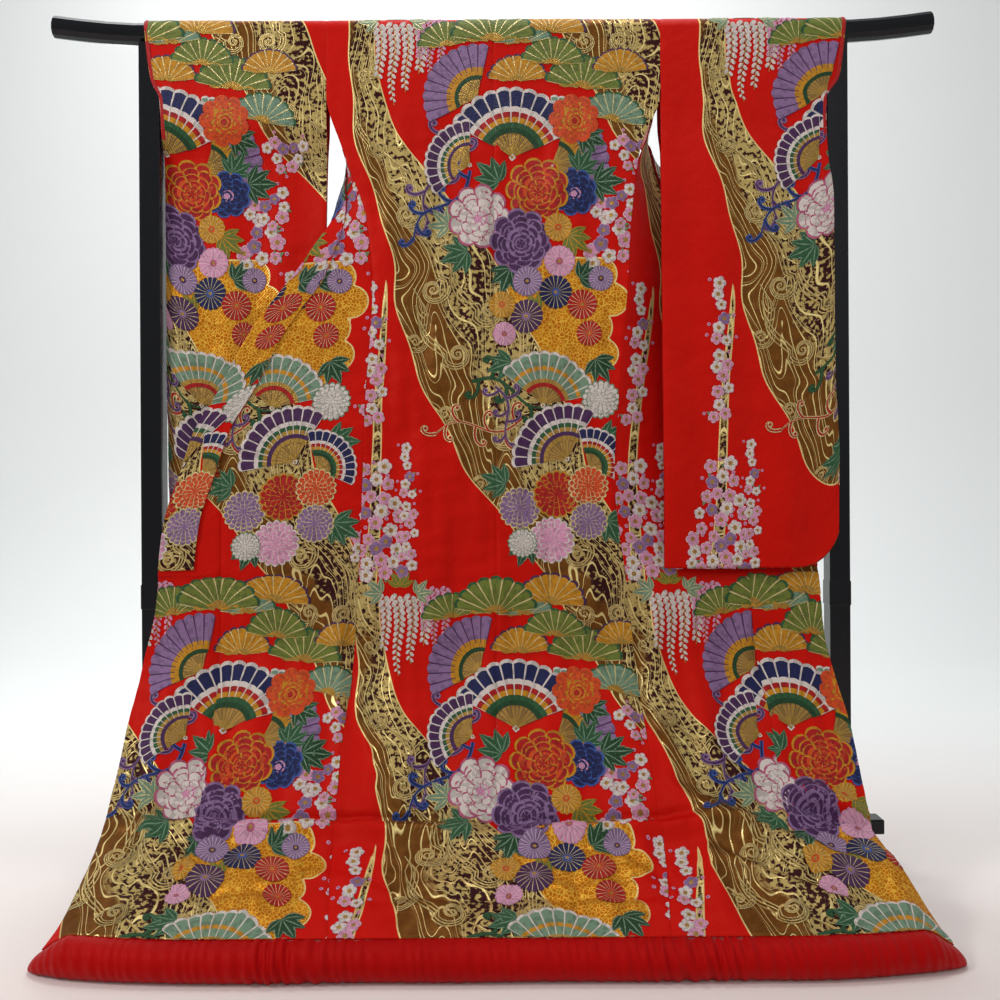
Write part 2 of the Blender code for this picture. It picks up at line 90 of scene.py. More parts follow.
def add_node(
    tree: bpy.types.NodeTree,
    kind: str,
    settings: dict[str, object] | None = None,
    inputs: dict[str | int, object] | None = None,
) -> bpy.types.Node:
    """Adds a node with its settings, and sets or links its inputs.

    Args:
        tree: The node tree.
        kind: The node's type name.
        settings: Properties of the node.
        inputs: Values, or sockets to link, by input name or number.

    Returns:
        The new node.
    """
    node = tree.nodes.new(kind)
    for key, value in (settings or {}).items():
        setattr(node, key, value)
    for key, value in (inputs or {}).items():
        if isinstance(value, bpy.types.NodeSocket):
            tree.links.new(value, node.inputs[key])
        else:
            node.inputs[key].default_value = value
    return node


def add_object(name: str, data: bpy.types.ID) -> bpy.types.Object:
    """Adds an object with its data to the scene."""
    made = bpy.data.objects.new(name, data)
    bpy.context.scene.collection.objects.link(made)
    return made


def add_piece(mesh: bpy.types.Mesh, node: str) -> bpy.types.Object:
    """Adds a mesh as a piece that takes a CAD node's place, and reports it."""
    piece = add_object(mesh.name, mesh)
    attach(piece, "root")
    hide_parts(node)
    LOG.info("%s: %d faces", piece.name, len(mesh.polygons))
    return piece


def read_rows(rows: Rows, at: float, column: int = 1) -> float:
    """Reads a column of a table by a smooth curve that never overshoots its rows.

    Args:
        rows: The table, with the place in its first column.
        at: The place to read.
        column: Which column to read.

    Returns:
        The column's value there.
    """
    places = [row[0] for row in rows]
    if at <= places[0]:
        return rows[0][column]
    if at >= places[-1]:
        return rows[-1][column]
    i = bisect.bisect_right(places, at) - 1
    slopes = []
    for j in (i - 1, i, i + 1):
        j = min(max(j, 0), len(rows) - 2)
        slopes.append((rows[j + 1][column] - rows[j][column]) / (places[j + 1] - places[j]))
    before, here, after = slopes
    start = 0.0 if before * here <= 0 else 2 * before * here / (before + here)
    end = 0.0 if here * after <= 0 else 2 * here * after / (here + after)
    run = places[i + 1] - places[i]
    t = (at - places[i]) / run
    low, high = rows[i][column], rows[i + 1][column]
    return (
        low * (1 + 2 * t) * (1 - t) ** 2
        + high * t * t * (3 - 2 * t)
        + start * run * t * (1 - t) ** 2
        - end * run * t * t * (1 - t)
    )


def soft_step(low: float, high: float, value: float | np.ndarray) -> float | np.ndarray:
    """Gives 0 below low, 1 above high, and a soft step between."""
    t = np.clip((value - low) / (high - low), 0.0, 1.0)
    return t * t * (3 - 2 * t)


class Side(Enum):
    """The two sides, as the viewer sees them."""

    LEFT = -1
    RIGHT = 1

    @property
    def word(self) -> str:
        """The side's name in a node's name."""
        return self.name.lower()


@dataclass(frozen=True)
class Finish:
    """A finish, made once as a material.

    Attributes:
        name: The material's name.
        colour: Its main colour, as sRGB hex.
        roughness: Its middle roughness.
    """

    name: str
    colour: str
    roughness: float

    def material(self) -> bpy.types.Material:
        """Returns the material, made at its first use."""
        known = bpy.data.materials.get(self.name)
        if known:
            return known
        made = bpy.data.materials.new(self.name)
        made.use_nodes = True
        tree = made.node_tree
        shader = tree.nodes["Principled BSDF"]
        plain = {"Base Color": linear(self.colour), "Roughness": self.roughness}
        for name, value in (plain | self.constants()).items():
            shader.inputs[name].default_value = value
        sockets: dict[str, bpy.types.NodeSocket] = {}
        for name, kind, settings, inputs in self.steps():
            linked = {key: sockets.get(value, value) for key, value in inputs.items()}
            node = add_node(tree, "ShaderNode" + kind, settings, linked)
            sockets[name] = node.outputs[OUTPUTS.get(kind, 0)]
            if name in shader.inputs:
                tree.links.new(sockets[name], shader.inputs[name])
        return made

    def constants(self) -> dict[str, float | Colour]:
        """The shader's constant inputs, beside its colour and roughness."""
        return {}

    def steps(self) -> Steps:
        """The nodes before the shader: name, kind, settings, and values or steps that feed it.

        A step that has the name of one of the shader's inputs feeds that input.
        """
        raise NotImplementedError


@dataclass(frozen=True)
class BlackLacquer(Finish):
    """Black urushi lacquer on turned and planed wood, polished: deep gloss with faint rubbing."""

    def constants(self) -> dict[str, float | Colour]:
        """A thin gloss coat over black."""
        return {"Specular IOR Level": 0.25, "Coat Weight": 0.1, "Coat Roughness": 0.10}

    def steps(self) -> Steps:
        """Fine rubbing marks of about 6 mm, and the slow waves of a hand-laid coat."""
        return (
            PLACE,
            ("rub", "TexNoise", {}, {"Vector": "place", "Scale": 160.0, "Detail": 4.0}),
            ("Roughness", "MapRange", {}, {"Value": "rub", "To Min": 0.14, "To Max": 0.30}),
            ("wave", "TexNoise", {}, {"Vector": "place", "Scale": 22.0, "Detail": 1.0}),
            ("Normal", "Bump", {}, {"Strength": 0.12, "Distance": 0.002, "Height": "wave"}),
        )


@dataclass(frozen=True)
class SatinSilk(Finish):
    """Plain silk satin, piece dyed: a soft sheen across the warp and fine weft ribs.

    Attributes:
        rib: Spacing of the ribs in metres, drawn coarser than the real 0.3 mm to show.
        wrinkle: Depth in metres of the soft wrinkles of 20 to 30 mm.
    """

    rib: float = 0.0016
    wrinkle: float = 0.004

    def constants(self) -> dict[str, float | Colour]:
        """A gloss that keeps the dye's warmth."""
        return {"Specular IOR Level": 0.3, "Specular Tint": linear("FF7A60")}

    def steps(self) -> Steps:
        """Ribs and slubs in the weave, soft wrinkles, and slightly uneven dye."""
        dye = linear(self.colour)[:3]
        deep, bright = (tuple(min(part * c, 1.0) for c in dye) + (1.0,) for part in (0.82, 1.14))
        return (
            PLACE,
            ("drawn", "Mapping", {}, {"Vector": "place", "Scale": (1.0, 0.35, 0.35)}),
            ("dye", "TexNoise", {}, {"Vector": "place", "Scale": 7.0, "Detail": 3.0}),
            ("Base Color", "Mix", BLEND, {"Factor": "dye", 6: deep, 7: bright}),
            ("ribs", "TexNoise", {}, {"Vector": "drawn", "Scale": 1 / self.rib, "Detail": 2.0}),
            ("fine", "Bump", {}, {"Strength": 0.25, "Distance": 0.0006, "Height": "ribs"}),
            ("slack", "TexNoise", {},
             {"Vector": "drawn", "Scale": 34.0, "Detail": 2.0, "Distortion": 0.6}),
            ("Normal", "Bump", {},
             {"Strength": 0.5, "Distance": self.wrinkle, "Height": "slack", "Normal": "fine"}),
        )


@dataclass(frozen=True)
class FloatThread(Finish):
    """Dyed silk or flat gold thread, floated over the ground and bound down: glossy, ridged.

    Attributes:
        metallic: 0 for silk, up to 1 for gilt paper thread.
        ridge: Spacing of the ridges in metres, drawn coarser than the real 0.5 mm to show.
    """

    metallic: float = 0.0
    ridge: float = 0.0022

    def constants(self) -> dict[str, float | Colour]:
        """The gloss of silk, or of gilt."""
        return {"Metallic": self.metallic, "Specular IOR Level": 0.3}

    def steps(self) -> Steps:
        """Ridges of neighbouring threads."""
        return (
            PLACE,
            ("ridges", "TexWave", {"bands_direction": "DIAGONAL"},
             {"Vector": "place", "Scale": 0.3 / self.ridge, "Distortion": 3.0, "Detail": 1.0,
              "Detail Scale": 2.0}),
            ("Normal", "Bump", {}, {"Strength": 0.7, "Distance": 0.0014, "Height": "ridges"}),
        )


@dataclass(frozen=True)
class BrocadeGround(Finish):
    """The brocade's ground: red satin, a stream in bronze and gold thread, and gilt cloud.

    The sheet's attributes say where each is: stream and cloud are distances in metres into
    each, and flow is the way across the stream. The UV map is the flat cloth in metres.
    """

    def constants(self) -> dict[str, float | Colour]:
        """A low gloss that keeps the dye's warmth."""
        return {"Specular IOR Level": 0.22, "Specular Tint": linear("FFB48C")}

    def steps(self) -> Steps:
        """Colour, gold and weave of the ground.

        A whirl's gold line is 2 to 3 mm wide and comes about every 9 mm, as its threads lie.
        The gold flecks are 4 to 8 mm. The twill is 3 mm, coarser than the real 0.6 mm, so
        that it shows at all.
        """
        pale = linear("DCC684")
        edge = {"From Min": -0.0003, "From Max": 0.0003}
        times, plus, most, least, minus, swing, size = (
            {"operation": word}
            for word in (
                "MULTIPLY", "MULTIPLY_ADD", "MAXIMUM", "MINIMUM", "SUBTRACT", "PINGPONG", "ABSOLUTE"
            )
        )
        return (
            ("flat", "UVMap", {"uv_map": "flat"}, {}),
            *((name, "Attribute", {"attribute_name": name}, {}) for name in FIELDS),
            ("drawn", "Mapping", {},
             {"Vector": "flat", "Rotation": (0, 0, 0.42), "Scale": (1, 0.42, 1)}),
            ("drift", "TexNoise", {},
             {"Vector": "drawn", "Scale": 11.0, "Detail": 1.0, "Distortion": 0.7}),
            ("push", "Math", times, {0: "drift", 1: 10.0}),
            ("level", "Math", plus, {0: "flow", 1: 46.0, 2: "push"}),
            ("close", "Math", times, {0: "level", 1: 2.6}),
            ("wave", "Math", swing, {0: "close", 1: 0.5}),
            ("slow", "TexNoise", {}, {"Vector": "flat", "Scale": 22.0, "Detail": 1.0}),
            ("breadth", "Math", plus, {0: "slow", 1: 0.30, 2: 0.01}),
            ("inner", "Math", minus, {0: "breadth", 1: "wave"}),
            ("fine", "MapRange", {}, {"Value": "inner", "From Min": -0.03, "From Max": 0.03}),
            ("bunch", "Math", swing, {0: "level", 1: 0.5}),
            ("bunched", "Math", plus, {0: "slow", 1: 0.34, 2: "bunch"}),
            ("open", "MapRange", {}, {"Value": "bunched", "From Min": 0.42, "From Max": 0.36}),
            ("line", "Math", times, {0: "fine", 1: "open"}),
            ("ragged", "TexNoise", {}, {"Vector": "drawn", "Scale": 16.0, "Detail": 2.0}),
            ("across", "Math", plus, {0: "ragged", 1: 0.16, 2: "flow"}),
            ("dark", "MapRange", {}, {"Value": "across", "From Min": 0.050, "From Max": 0.068}),
            ("fleck", "TexNoise", {}, {"Vector": "flat", "Scale": 118.0, "Detail": 3.0}),
            ("patchy", "Math", plus, {0: "drift", 1: 0.35, 2: "fleck"}),
            ("flecked", "MapRange", {},
             {"Value": "patchy", "From Min": 0.655, "From Max": 0.715}),
            ("weave", "TexNoise", {}, {"Vector": "flat", "Scale": 70.0, "Detail": 4.0}),
            ("bronze", "Mix", BLEND, {"Factor": "weave", 6: linear("44260E"), 7: linear("80511F")}),
            ("maroon", "Mix", BLEND,
             {"Factor": "flecked", 6: linear("2E1218"), 7: linear("B09A5E")}),
            ("water", "Mix", BLEND, {"Factor": "dark", 6: "bronze", 7: "maroon"}),
            ("lined", "Mix", BLEND, {"Factor": "line", 6: "water", 7: pale}),
            ("net", "TexVoronoi", {"feature": "DISTANCE_TO_EDGE"},
             {"Vector": "flat", "Scale": 160.0}),
            ("mesh", "MapRange", {}, {"Value": "net", "From Min": 0.12, "From Max": 0.04}),
            ("amber", "Mix", BLEND, {"Factor": "slow", 6: linear("9A4408"), 7: linear("C98418")}),
            ("gilt", "Mix", BLEND, {"Factor": "mesh", 6: "amber", 7: linear("D8A63A")}),
            ("dye", "TexNoise", {}, {"Vector": "flat", "Scale": 6.0, "Detail": 3.0}),
            ("red", "Mix", BLEND, {"Factor": "dye", 6: linear("B00403"), 7: linear("C80905")}),
            ("in_stream", "MapRange", {}, {"Value": "stream"} | edge),
            ("in_cloud", "MapRange", {}, {"Value": "cloud"} | edge),
            ("wet", "Mix", BLEND, {"Factor": "in_stream", 6: "red", 7: "lined"}),
            ("clouded", "Mix", BLEND, {"Factor": "in_cloud", 6: "wet", 7: "gilt"}),
            ("off_stream", "Math", size, {0: "stream"}),
            ("off_cloud", "Math", size, {0: "cloud"}),
            ("near", "Math", least, {0: "off_stream", 1: "off_cloud"}),
            ("outline", "MapRange", {}, {"Value": "near", "From Min": 0.0016, "From Max": 0.0010}),
            ("Base Color", "Mix", BLEND, {"Factor": "outline", 6: "clouded", 7: pale}),
            ("woven", "Math", most, {0: "in_stream", 1: "in_cloud"}),
            ("gold", "Math", most, {0: "line", 1: 0.55}),
            ("gilded", "Math", times, {0: "woven", 1: "gold"}),
            ("shiny", "Math", most, {0: "gilded", 1: "outline"}),
            ("Metallic", "Math", times, {0: "shiny", 1: 0.7}),
            ("Roughness", "Math", plus, {0: "gilded", 1: -0.20, 2: self.roughness}),
            ("twill", "TexWave", {"bands_direction": "DIAGONAL"},
             {"Vector": "flat", "Scale": 110.0, "Distortion": 1.2, "Detail": 2.0}),
            ("raised", "Math", plus, {0: "twill", 1: 0.35, 2: "gilded"}),
            ("thread", "Bump", {}, {"Strength": 0.6, "Distance": 0.0010, "Height": "raised"}),
            ("pucker", "TexNoise", {}, {"Vector": "flat", "Scale": 26.0, "Detail": 2.0}),
            ("Normal", "Bump", {},
             {"Strength": 0.6, "Distance": 0.006, "Height": "pucker", "Normal": "thread"}),
        )


@dataclass(frozen=True)
class StudioPaint(Finish):
    """Matt emulsion on a sweep of wall and floor: pale and even, with painted shade and painted red
    bounce light from the robe on the floor by it.

    Attributes:
        near: The colour of the floor by the robe, as sRGB hex: darker and pinker than the wall, as
            painted shade and painted red bounce light from the robe.
    """

    # The near floor's colour is painted shade and painted red bounce light from the robe.
    near: str = "E6DAD5"

    def steps(self) -> Steps:
        """A slow change from the near floor's painted shade and red bounce light to the wall's
        colour.
        """
        # Blends the painted shade and red bounce light of the near floor into the wall's own
        # colour.
        painted_shade_tones = {6: linear(self.near), 7: linear(self.colour)}
        return (
            PLACE,
            ("away", "SeparateXYZ", {}, {0: "place"}),
            ("share", "MapRange", {"interpolation_type": "SMOOTHSTEP"},
             {"Value": "away", "From Min": -0.6, "From Max": 1.6}),
            ("Base Color", "Mix", BLEND, {"Factor": "share"} | painted_shade_tones),
        )


def smooth_mesh(name: str, bm: bmesh.types.BMesh, *finishes: Finish) -> bpy.types.Mesh:
    """Turns a bmesh into a smooth mesh with its finishes, and frees it."""
    mesh = bpy.data.meshes.new(name)
    bm.to_mesh(mesh)
    bm.free()
    mesh.shade_smooth()
    for finish in finishes:
        mesh.materials.append(finish.material())
    return mesh


class Thread(Enum):
    """The threads of the figures: name, colour and how metallic."""

    GOLD = ("gilt_paper_thread", "AE8A42", 0.75)
    PALE_GOLD = ("pale_gilt_thread", "D6C48C", 0.6)
    WHITE = ("white_silk_thread", "D4C8C0", 0.0)
    PINK = ("pink_silk_thread", "D291AF", 0.0)
    ROSE = ("rose_silk_thread", "B05473", 0.0)
    LILAC = ("lilac_silk_thread", "876790", 0.0)
    PURPLE = ("purple_silk_thread", "45204D", 0.0)
    NAVY = ("navy_silk_thread", "141A4C", 0.0)
    BLUE = ("blue_silk_thread", "33539A", 0.0)
    RED = ("red_silk_thread", "A80C0A", 0.0)
    ORANGE = ("orange_silk_thread", "CC4512", 0.0)
    OCHRE = ("ochre_silk_thread", "C08411", 0.0)
    OLIVE = ("olive_silk_thread", "69752A", 0.0)
    LEAF = ("leaf_green_silk_thread", "265530", 0.0)
    SAGE = ("sage_silk_thread", "6F8C72", 0.0)
    PINE = ("dark_green_silk_thread", "153F1E", 0.0)

    def finish(self, shaded: bool) -> FloatThread:
        """The thread's finish, or a painted-shade copy of it at 0.87 of its brightness, for faces
        that catch less light.
        """
        name, colour, metallic = self.value
        # Painted shade: the same thread at 0.87 of its brightness, as where it catches less light.
        if shaded:
            name += "_shaded"
            colour = "".join(f"{round(int(colour[i : i + 2], 16) * 0.87):02X}" for i in (0, 2, 4))
        return FloatThread(name, colour, 0.40 if metallic else 0.55, metallic)


@dataclass(frozen=True)
class HungCloth:
    """How the cloth hangs: the CAD part's own tables and shapes, with finer folds.

    Each table starts with the length from the shoulder fold, or the height in a sleeve's.
    """

    wall: float = 0.002
    seam: float = 0.0003
    length: float = 1.75
    side_join: float = 0.38
    rod_y: float = 0.125
    rod_z: float = 1.573
    over_rod: float = 0.0216
    collar_width: float = 0.065
    roll_top: float = 0.0524
    roll_tip_x: float = 0.700
    roll_taper: float = 0.62
    roll_forward: float = 0.417  # of the hem roll's middle from the rod's axis
    straight: float = 0.42  # half of the hem's straight middle
    curved: float = 0.28  # each of its ends, which are drawn back
    drawn_back: float = 0.085  # how far they are, for each metre that the cloth is forward
    lower: float = 1.55  # length from which the cloth sinks to the roll's thin tips
    merge: tuple[float, float] = (1.02, 1.20)  # where an opened front joins the common fall
    sideways: tuple[float, float] = (0.22, 0.32)  # where its side comes in to its seam
    behind: float = 0.82  # drop behind the rod for each metre of cloth, as it hangs slack
    fade: tuple[float, float] = (-0.15, 0.25)  # where a fold starts, as shares of its length
    lean_degrees: Rows = (
        (0.0, 0.0), (1.14, 0.0), (1.22, 16.0), (1.3, 31.0), (1.42, 38.0), (1.5, 48.0),
        (1.54, 65.0), (1.64, 68.0), (1.75, 68.0),
    )
    side_seams: Rows = (
        (0.0, 0.31, 0.31), (0.155, 0.31, 0.31), (0.26, 0.28, 0.272), (0.395, 0.236, 0.254),
        (0.526, 0.226, 0.246), (0.714, 0.24, 0.23), (0.865, 0.246, 0.22), (1.066, 0.256, 0.242),
        (1.22, 0.266, 0.257), (1.39, 0.276, 0.27), (1.54, 0.272, 0.274), (1.75, 0.25, 0.255),
    )
    armhole_edge: Rows = (
        (0.04, 0.31, 0.0213, 1.568), (0.1, 0.31, 0.0213, 1.51), (0.16, 0.308, 0.019, 1.45),
        (0.22, 0.292, 0.011, 1.385), (0.3, 0.264, -0.006, 1.305),
    )
    front_edge_left: Rows = (
        (0.04, 0.095, 0.0213, 1.568), (0.1, 0.17, 0.09, 1.52), (0.17, 0.235, 0.125, 1.45),
        (0.24, 0.275, 0.105, 1.37), (0.3, 0.288, 0.055, 1.3), (0.36, 0.296, 0.0, 1.235),
        (0.44, 0.3405, -0.03, 1.155), (0.6, 0.455, -0.036, 1.0), (0.7, 0.508, -0.037, 0.9),
        (0.775, 0.553, -0.038, 0.825), (0.845, 0.577, -0.038, 0.755),
        (0.945, 0.61, -0.038, 0.655), (1.04, 0.622, -0.038, 0.56),
    )
    front_edge_right: Rows = (
        (0.04, 0.095, 0.0213, 1.568), (0.1, 0.17, 0.09, 1.52), (0.17, 0.25, 0.13, 1.45),
        (0.24, 0.32, 0.13, 1.37), (0.3, 0.36, 0.11, 1.3), (0.36, 0.395, 0.09, 1.235),
        (0.44, 0.44, 0.07, 1.155), (0.6, 0.51, 0.05, 1.0), (0.7, 0.545, 0.038, 0.9),
        (0.8, 0.575, 0.026, 0.8), (0.9, 0.592, 0.013, 0.7), (0.98, 0.598, 0.0, 0.62),
        (1.04, 0.6, -0.012, 0.56),
    )
    front_edge_low: Rows = (
        (1.04, 0.622, 0.6), (1.165, 0.645, 0.61), (1.22, 0.655, 0.62), (1.35, 0.667, 0.637),
        (1.45, 0.667, 0.637), (1.52, 0.664, 0.63), (1.62, 0.656, 0.643), (1.7, 0.66, 0.664),
        (1.75, 0.68, 0.682),
    )
    okumi_seam: Rows = (
        (0.6, 0.43, 0.445), (0.72, 0.49, 0.462), (0.85, 0.506, 0.468), (1.03, 0.508, 0.47),
        (1.15, 0.513, 0.476), (1.33, 0.513, 0.494), (1.52, 0.506, 0.486), (1.75, 0.515, 0.52),
    )
    slack: Rows = (
        (0.04, 0.0, 0.0), (0.11, 0.012, 0.012), (0.2, 0.0, 0.0), (0.36, 0.0, 0.01),
        (0.6, 0.0, 0.026), (0.9, 0.0, 0.022), (1.1, 0.0, 0.0),
    )
    folds: Rows = (
        # x and length at one end, x and length at the other, half breadth, height
        (-0.62, 1.5, -0.05, 1.52, 0.022, 0.011), (0.02, 1.53, 0.6, 1.5, 0.022, 0.012),
        (-0.2, 1.33, -0.14, 1.44, 0.016, 0.006), (0.3, 1.44, 0.66, 1.64, 0.03, 0.02),
        (0.34, 1.56, 0.6, 1.72, 0.026, 0.012), (0.14, 1.04, 0.28, 1.46, 0.026, 0.01),
        (-0.3, 0.9, -0.27, 1.5, 0.02, 0.008), (0.3, 1.0, 0.3, 1.42, 0.02, 0.009),
        (0.52, 1.44, 0.62, 1.52, 0.024, 0.018), (-0.58, 1.2, -0.6, 1.48, 0.03, 0.012),
        (-0.44, 1.56, -0.36, 1.72, 0.026, 0.008), (-0.05, 1.1, -0.1, 1.45, 0.03, -0.007),
        (0.44, 1.06, 0.4, 1.42, 0.03, -0.008),
    )
    creases: Rows = (
        # the same columns, for the finer creases
        (-0.62, 1.492, -0.03, 1.5, 0.009, -0.017), (-0.62, 1.52, -0.03, 1.532, 0.016, 0.013),
        (0.0, 1.508, 0.34, 1.494, 0.009, -0.016), (0.02, 1.538, 0.38, 1.526, 0.016, 0.012),
        (-0.6, 1.655, -0.3, 1.662, 0.01, -0.006), (-0.2, 1.672, 0.3, 1.668, 0.01, -0.006),
        (-0.24, 1.33, -0.17, 1.44, 0.009, 0.01), (-0.21, 1.32, -0.13, 1.43, 0.009, -0.009),
        (-0.13, 1.28, -0.04, 1.42, 0.012, 0.007), (0.31, 1.425, 0.63, 1.62, 0.015, -0.016),
        (0.29, 1.46, 0.6, 1.655, 0.019, 0.013), (0.36, 1.56, 0.56, 1.69, 0.011, -0.013),
        (0.5, 1.45, 0.62, 1.495, 0.015, 0.013), (0.5, 1.48, 0.63, 1.53, 0.01, -0.015),
        (0.34, 1.34, 0.46, 1.46, 0.014, 0.008), (0.22, 1.24, 0.31, 1.37, 0.012, 0.01),
        (0.12, 1.06, 0.27, 1.33, 0.014, -0.009), (-0.28, 0.95, -0.26, 1.38, 0.012, -0.009),
        (0.27, 1.02, 0.26, 1.4, 0.012, -0.009), (-0.55, 1.56, -0.4, 1.68, 0.012, 0.006),
        (-0.62, 1.42, -0.56, 1.6, 0.012, 0.007), (0.05, 0.95, 0.18, 1.12, 0.014, 0.004),
        (-0.42, 1.18, -0.36, 1.43, 0.014, 0.006), (-0.5, 1.2, -0.47, 1.46, 0.014, -0.006),
        (0.36, 1.2, 0.39, 1.44, 0.014, 0.005), (0.0, 1.6, 0.16, 1.69, 0.012, 0.004),
        (-0.3, 1.61, -0.12, 1.69, 0.012, 0.004), (0.2, 1.56, 0.32, 1.69, 0.01, -0.004),
        (-0.18, 0.64, -0.1, 0.9, 0.014, 0.003), (0.08, 0.56, 0.17, 0.76, 0.014, 0.003),
    )
    sleeve_right: Rows = (
        # height, inner edge, outer edge, forward of the rod's axis, half of the space between
        (0.56, 0.311, 0.63, 0.035, 0.004), (0.77, 0.3105, 0.633, 0.034, 0.0042),
        (0.95, 0.31, 0.627, 0.03, 0.0044), (1.25, 0.31, 0.626, 0.028, 0.0048),
        (1.33, 0.3103, 0.6185, 0.022, 0.006), (1.4, 0.3106, 0.617, 0.002, 0.02),
        (1.44, 0.3106, 0.6185, 0.0, 0.0216), (1.48, 0.3106, 0.642, 0.0, 0.0216),
        (1.6, 0.3106, 0.657, 0.0, 0.0216),
    )
    sleeve_left: Rows = (
        (0.56, 0.318, 0.612, -0.008, 0.004), (0.77, 0.318, 0.614, -0.008, 0.0042),
        (0.95, 0.318, 0.616, -0.008, 0.0044), (1.25, 0.315, 0.617, -0.008, 0.0048),
        (1.33, 0.313, 0.618, -0.008, 0.006), (1.4, 0.3106, 0.617, 0.0, 0.02),
        (1.44, 0.3106, 0.6185, 0.0, 0.0216), (1.48, 0.3106, 0.635, 0.0, 0.0216),
        (1.6, 0.3106, 0.649, 0.0, 0.0216),
    )
    sleeve_bottom: float = 0.570
    sleeve_corner: float = 0.075
    sleeve_width: float = 0.310
    mouth_length: float = 0.23

    @property
    def quarter(self) -> float:
        """Length of cloth over a quarter of the rod."""
        return self.over_rod * math.pi / 2

    def okumi_start(self, side: Side) -> float:
        """Length at which the overlap panel is as wide as its seam lets it be."""
        return 0.86 if side is Side.LEFT else 0.74

    def column(self, side: Side) -> int:
        """The column of a table that holds a side."""
        return 1 if side is Side.LEFT else 2

    @cached_property
    def fallen(self) -> list[tuple[float, float, float]]:
        """Length, way forward and height of the cloth that hangs from the rod's front."""
        step = 0.005
        rows = [(self.quarter, self.over_rod, self.rod_z)]
        while rows[-1][0] < self.length:
            length, forward, height = rows[-1]
            lean = math.radians(read_rows(self.lean_degrees, length + step / 2))
            rows.append(
                (length + step, forward + step * math.sin(lean), height - step * math.cos(lean))
            )
        return rows

    def fall(self, length: float) -> tuple[float, float, float]:
        """Way forward, height and lean of the cloth at a length from the shoulder fold."""
        if length < self.quarter:
            turn = length / self.over_rod
            forward = self.over_rod * math.sin(turn)
            return forward, self.rod_z + self.over_rod * math.cos(turn), turn - math.pi / 2
        rows = self.fallen
        place = min((length - self.quarter) / (rows[1][0] - rows[0][0]), len(rows) - 1.001)
        i = int(place)
        part = place - i
        forward = rows[i][1] + part * (rows[i + 1][1] - rows[i][1])
        height = rows[i][2] + part * (rows[i + 1][2] - rows[i][2])
        return forward, height, math.radians(read_rows(self.lean_degrees, length))

    def lifted(self, x: np.ndarray, length: float) -> np.ndarray:
        """How far folds and creases lift the cloth off its plain fall."""
        lift = np.zeros_like(x)
        for x0, length0, x1, length1, breadth, height in self.folds + self.creases:
            run_x, run_length = x1 - x0, length1 - length0
            whole = math.hypot(run_x, run_length)
            t = ((x - x0) * run_x + (length - length0) * run_length) / whole**2
            across = np.abs((x - x0) * run_length - (length - length0) * run_x) / whole
            ends = soft_step(*self.fade, t) * soft_step(*self.fade, 1 - t)
            lift += height * ends * np.exp(-((across / breadth) ** 2))
        lift += ripples(x, length)
        ends = soft_step(0.10, 0.30, length) * soft_step(0.0, 0.05, self.length - length)
        return lift * ends

    def roll_end(self, x: np.ndarray) -> np.ndarray:
        """0 along the hem roll and 1 at its tips, where it is thinnest."""
        return soft_step(0.90, 1.0, np.abs(x) / self.roll_tip_x)

    def hung(self, x: np.ndarray, length: float) -> np.ndarray:
        """Points of the cloth that hangs in front of the rod, for one length."""
        forward, height, lean = self.fall(length)
        outer = np.maximum(np.abs(x) - self.straight, 0.0) / self.curved
        drawn_in = (forward - self.over_rod) * self.drawn_back if length > self.quarter else 0.0
        drop = self.roll_top * self.roll_taper * soft_step(self.lower, self.length, length)
        lift = self.lifted(x, length)
        y = self.rod_y - forward + drawn_in * outer**2 - lift * math.cos(lean)
        z = height - drop * self.roll_end(x) + lift * math.sin(lean)
        return np.stack([x, y, z], axis=-1)

    def behind_rod(self, x: float, length: float) -> np.ndarray:
        """A point where a front passes over the back of the rod."""
        turn = min((length + self.seam / 2) / self.over_rod, math.pi / 2)
        y = self.rod_y + self.over_rod * math.sin(turn)
        below = self.behind * max(length + self.seam / 2 - self.quarter, 0.0)
        return np.array([x, y, self.rod_z + self.over_rod * math.cos(turn) - below])

    def free_point(self, rows: Rows, side: Side, length: float) -> np.ndarray:
        """A point of an edge that isn't joined, by its table."""
        half, behind, height = (read_rows(rows, length, i) for i in (1, 2, 3))
        return np.array([side.value * half, self.rod_y + behind, height])

    def joined_point(self, rows: Rows, side: Side, length: float) -> np.ndarray:
        """A point of the common fall, at the place across it that a table gives."""
        half = read_rows(rows, length, self.column(side))
        return self.hung(np.array([side.value * half]), length)[0]

    def side_point(self, side: Side, length: float) -> np.ndarray:
        """The edge of a front that meets the back or the sleeve."""
        rows = self.armhole_edge
        if length < rows[0][0]:
            return self.behind_rod(side.value * rows[0][1], length)
        free = self.free_point(rows, side, length)
        joined = self.joined_point(self.side_seams, side, length)
        x = free + (joined - free) * soft_step(*self.sideways, length)
        inwards = free + (joined - free) * soft_step(0.26, self.side_join + 0.03, length)
        return np.array([x[0], inwards[1], inwards[2]])

    def edge_point(self, side: Side, length: float) -> np.ndarray:
        """The free front edge of an opened front."""
        rows = self.front_edge_left if side is Side.LEFT else self.front_edge_right
        if length < rows[0][0]:
            return self.behind_rod(side.value * rows[0][1], length)
        free = self.free_point(rows, side, length)
        joined = self.joined_point(self.front_edge_low, side, length)
        return free + (joined - free) * soft_step(*self.merge, length)

    def front_row(self, side: Side, across: np.ndarray, length: float) -> np.ndarray:
        """Points of an opened front, from its side seam at 0 to its front edge at 1."""
        start, end = self.side_point(side, length), self.edge_point(side, length)
        points = start + (end - start) * across[:, None]
        slack = read_rows(self.slack, length, self.column(side))
        points[:, 1] += slack * 4 * across * (1 - across)
        if length > self.side_join:
            common = self.hung(points[:, 0], length)
            points = points + (common - points) * soft_step(*self.merge, length)
        return points

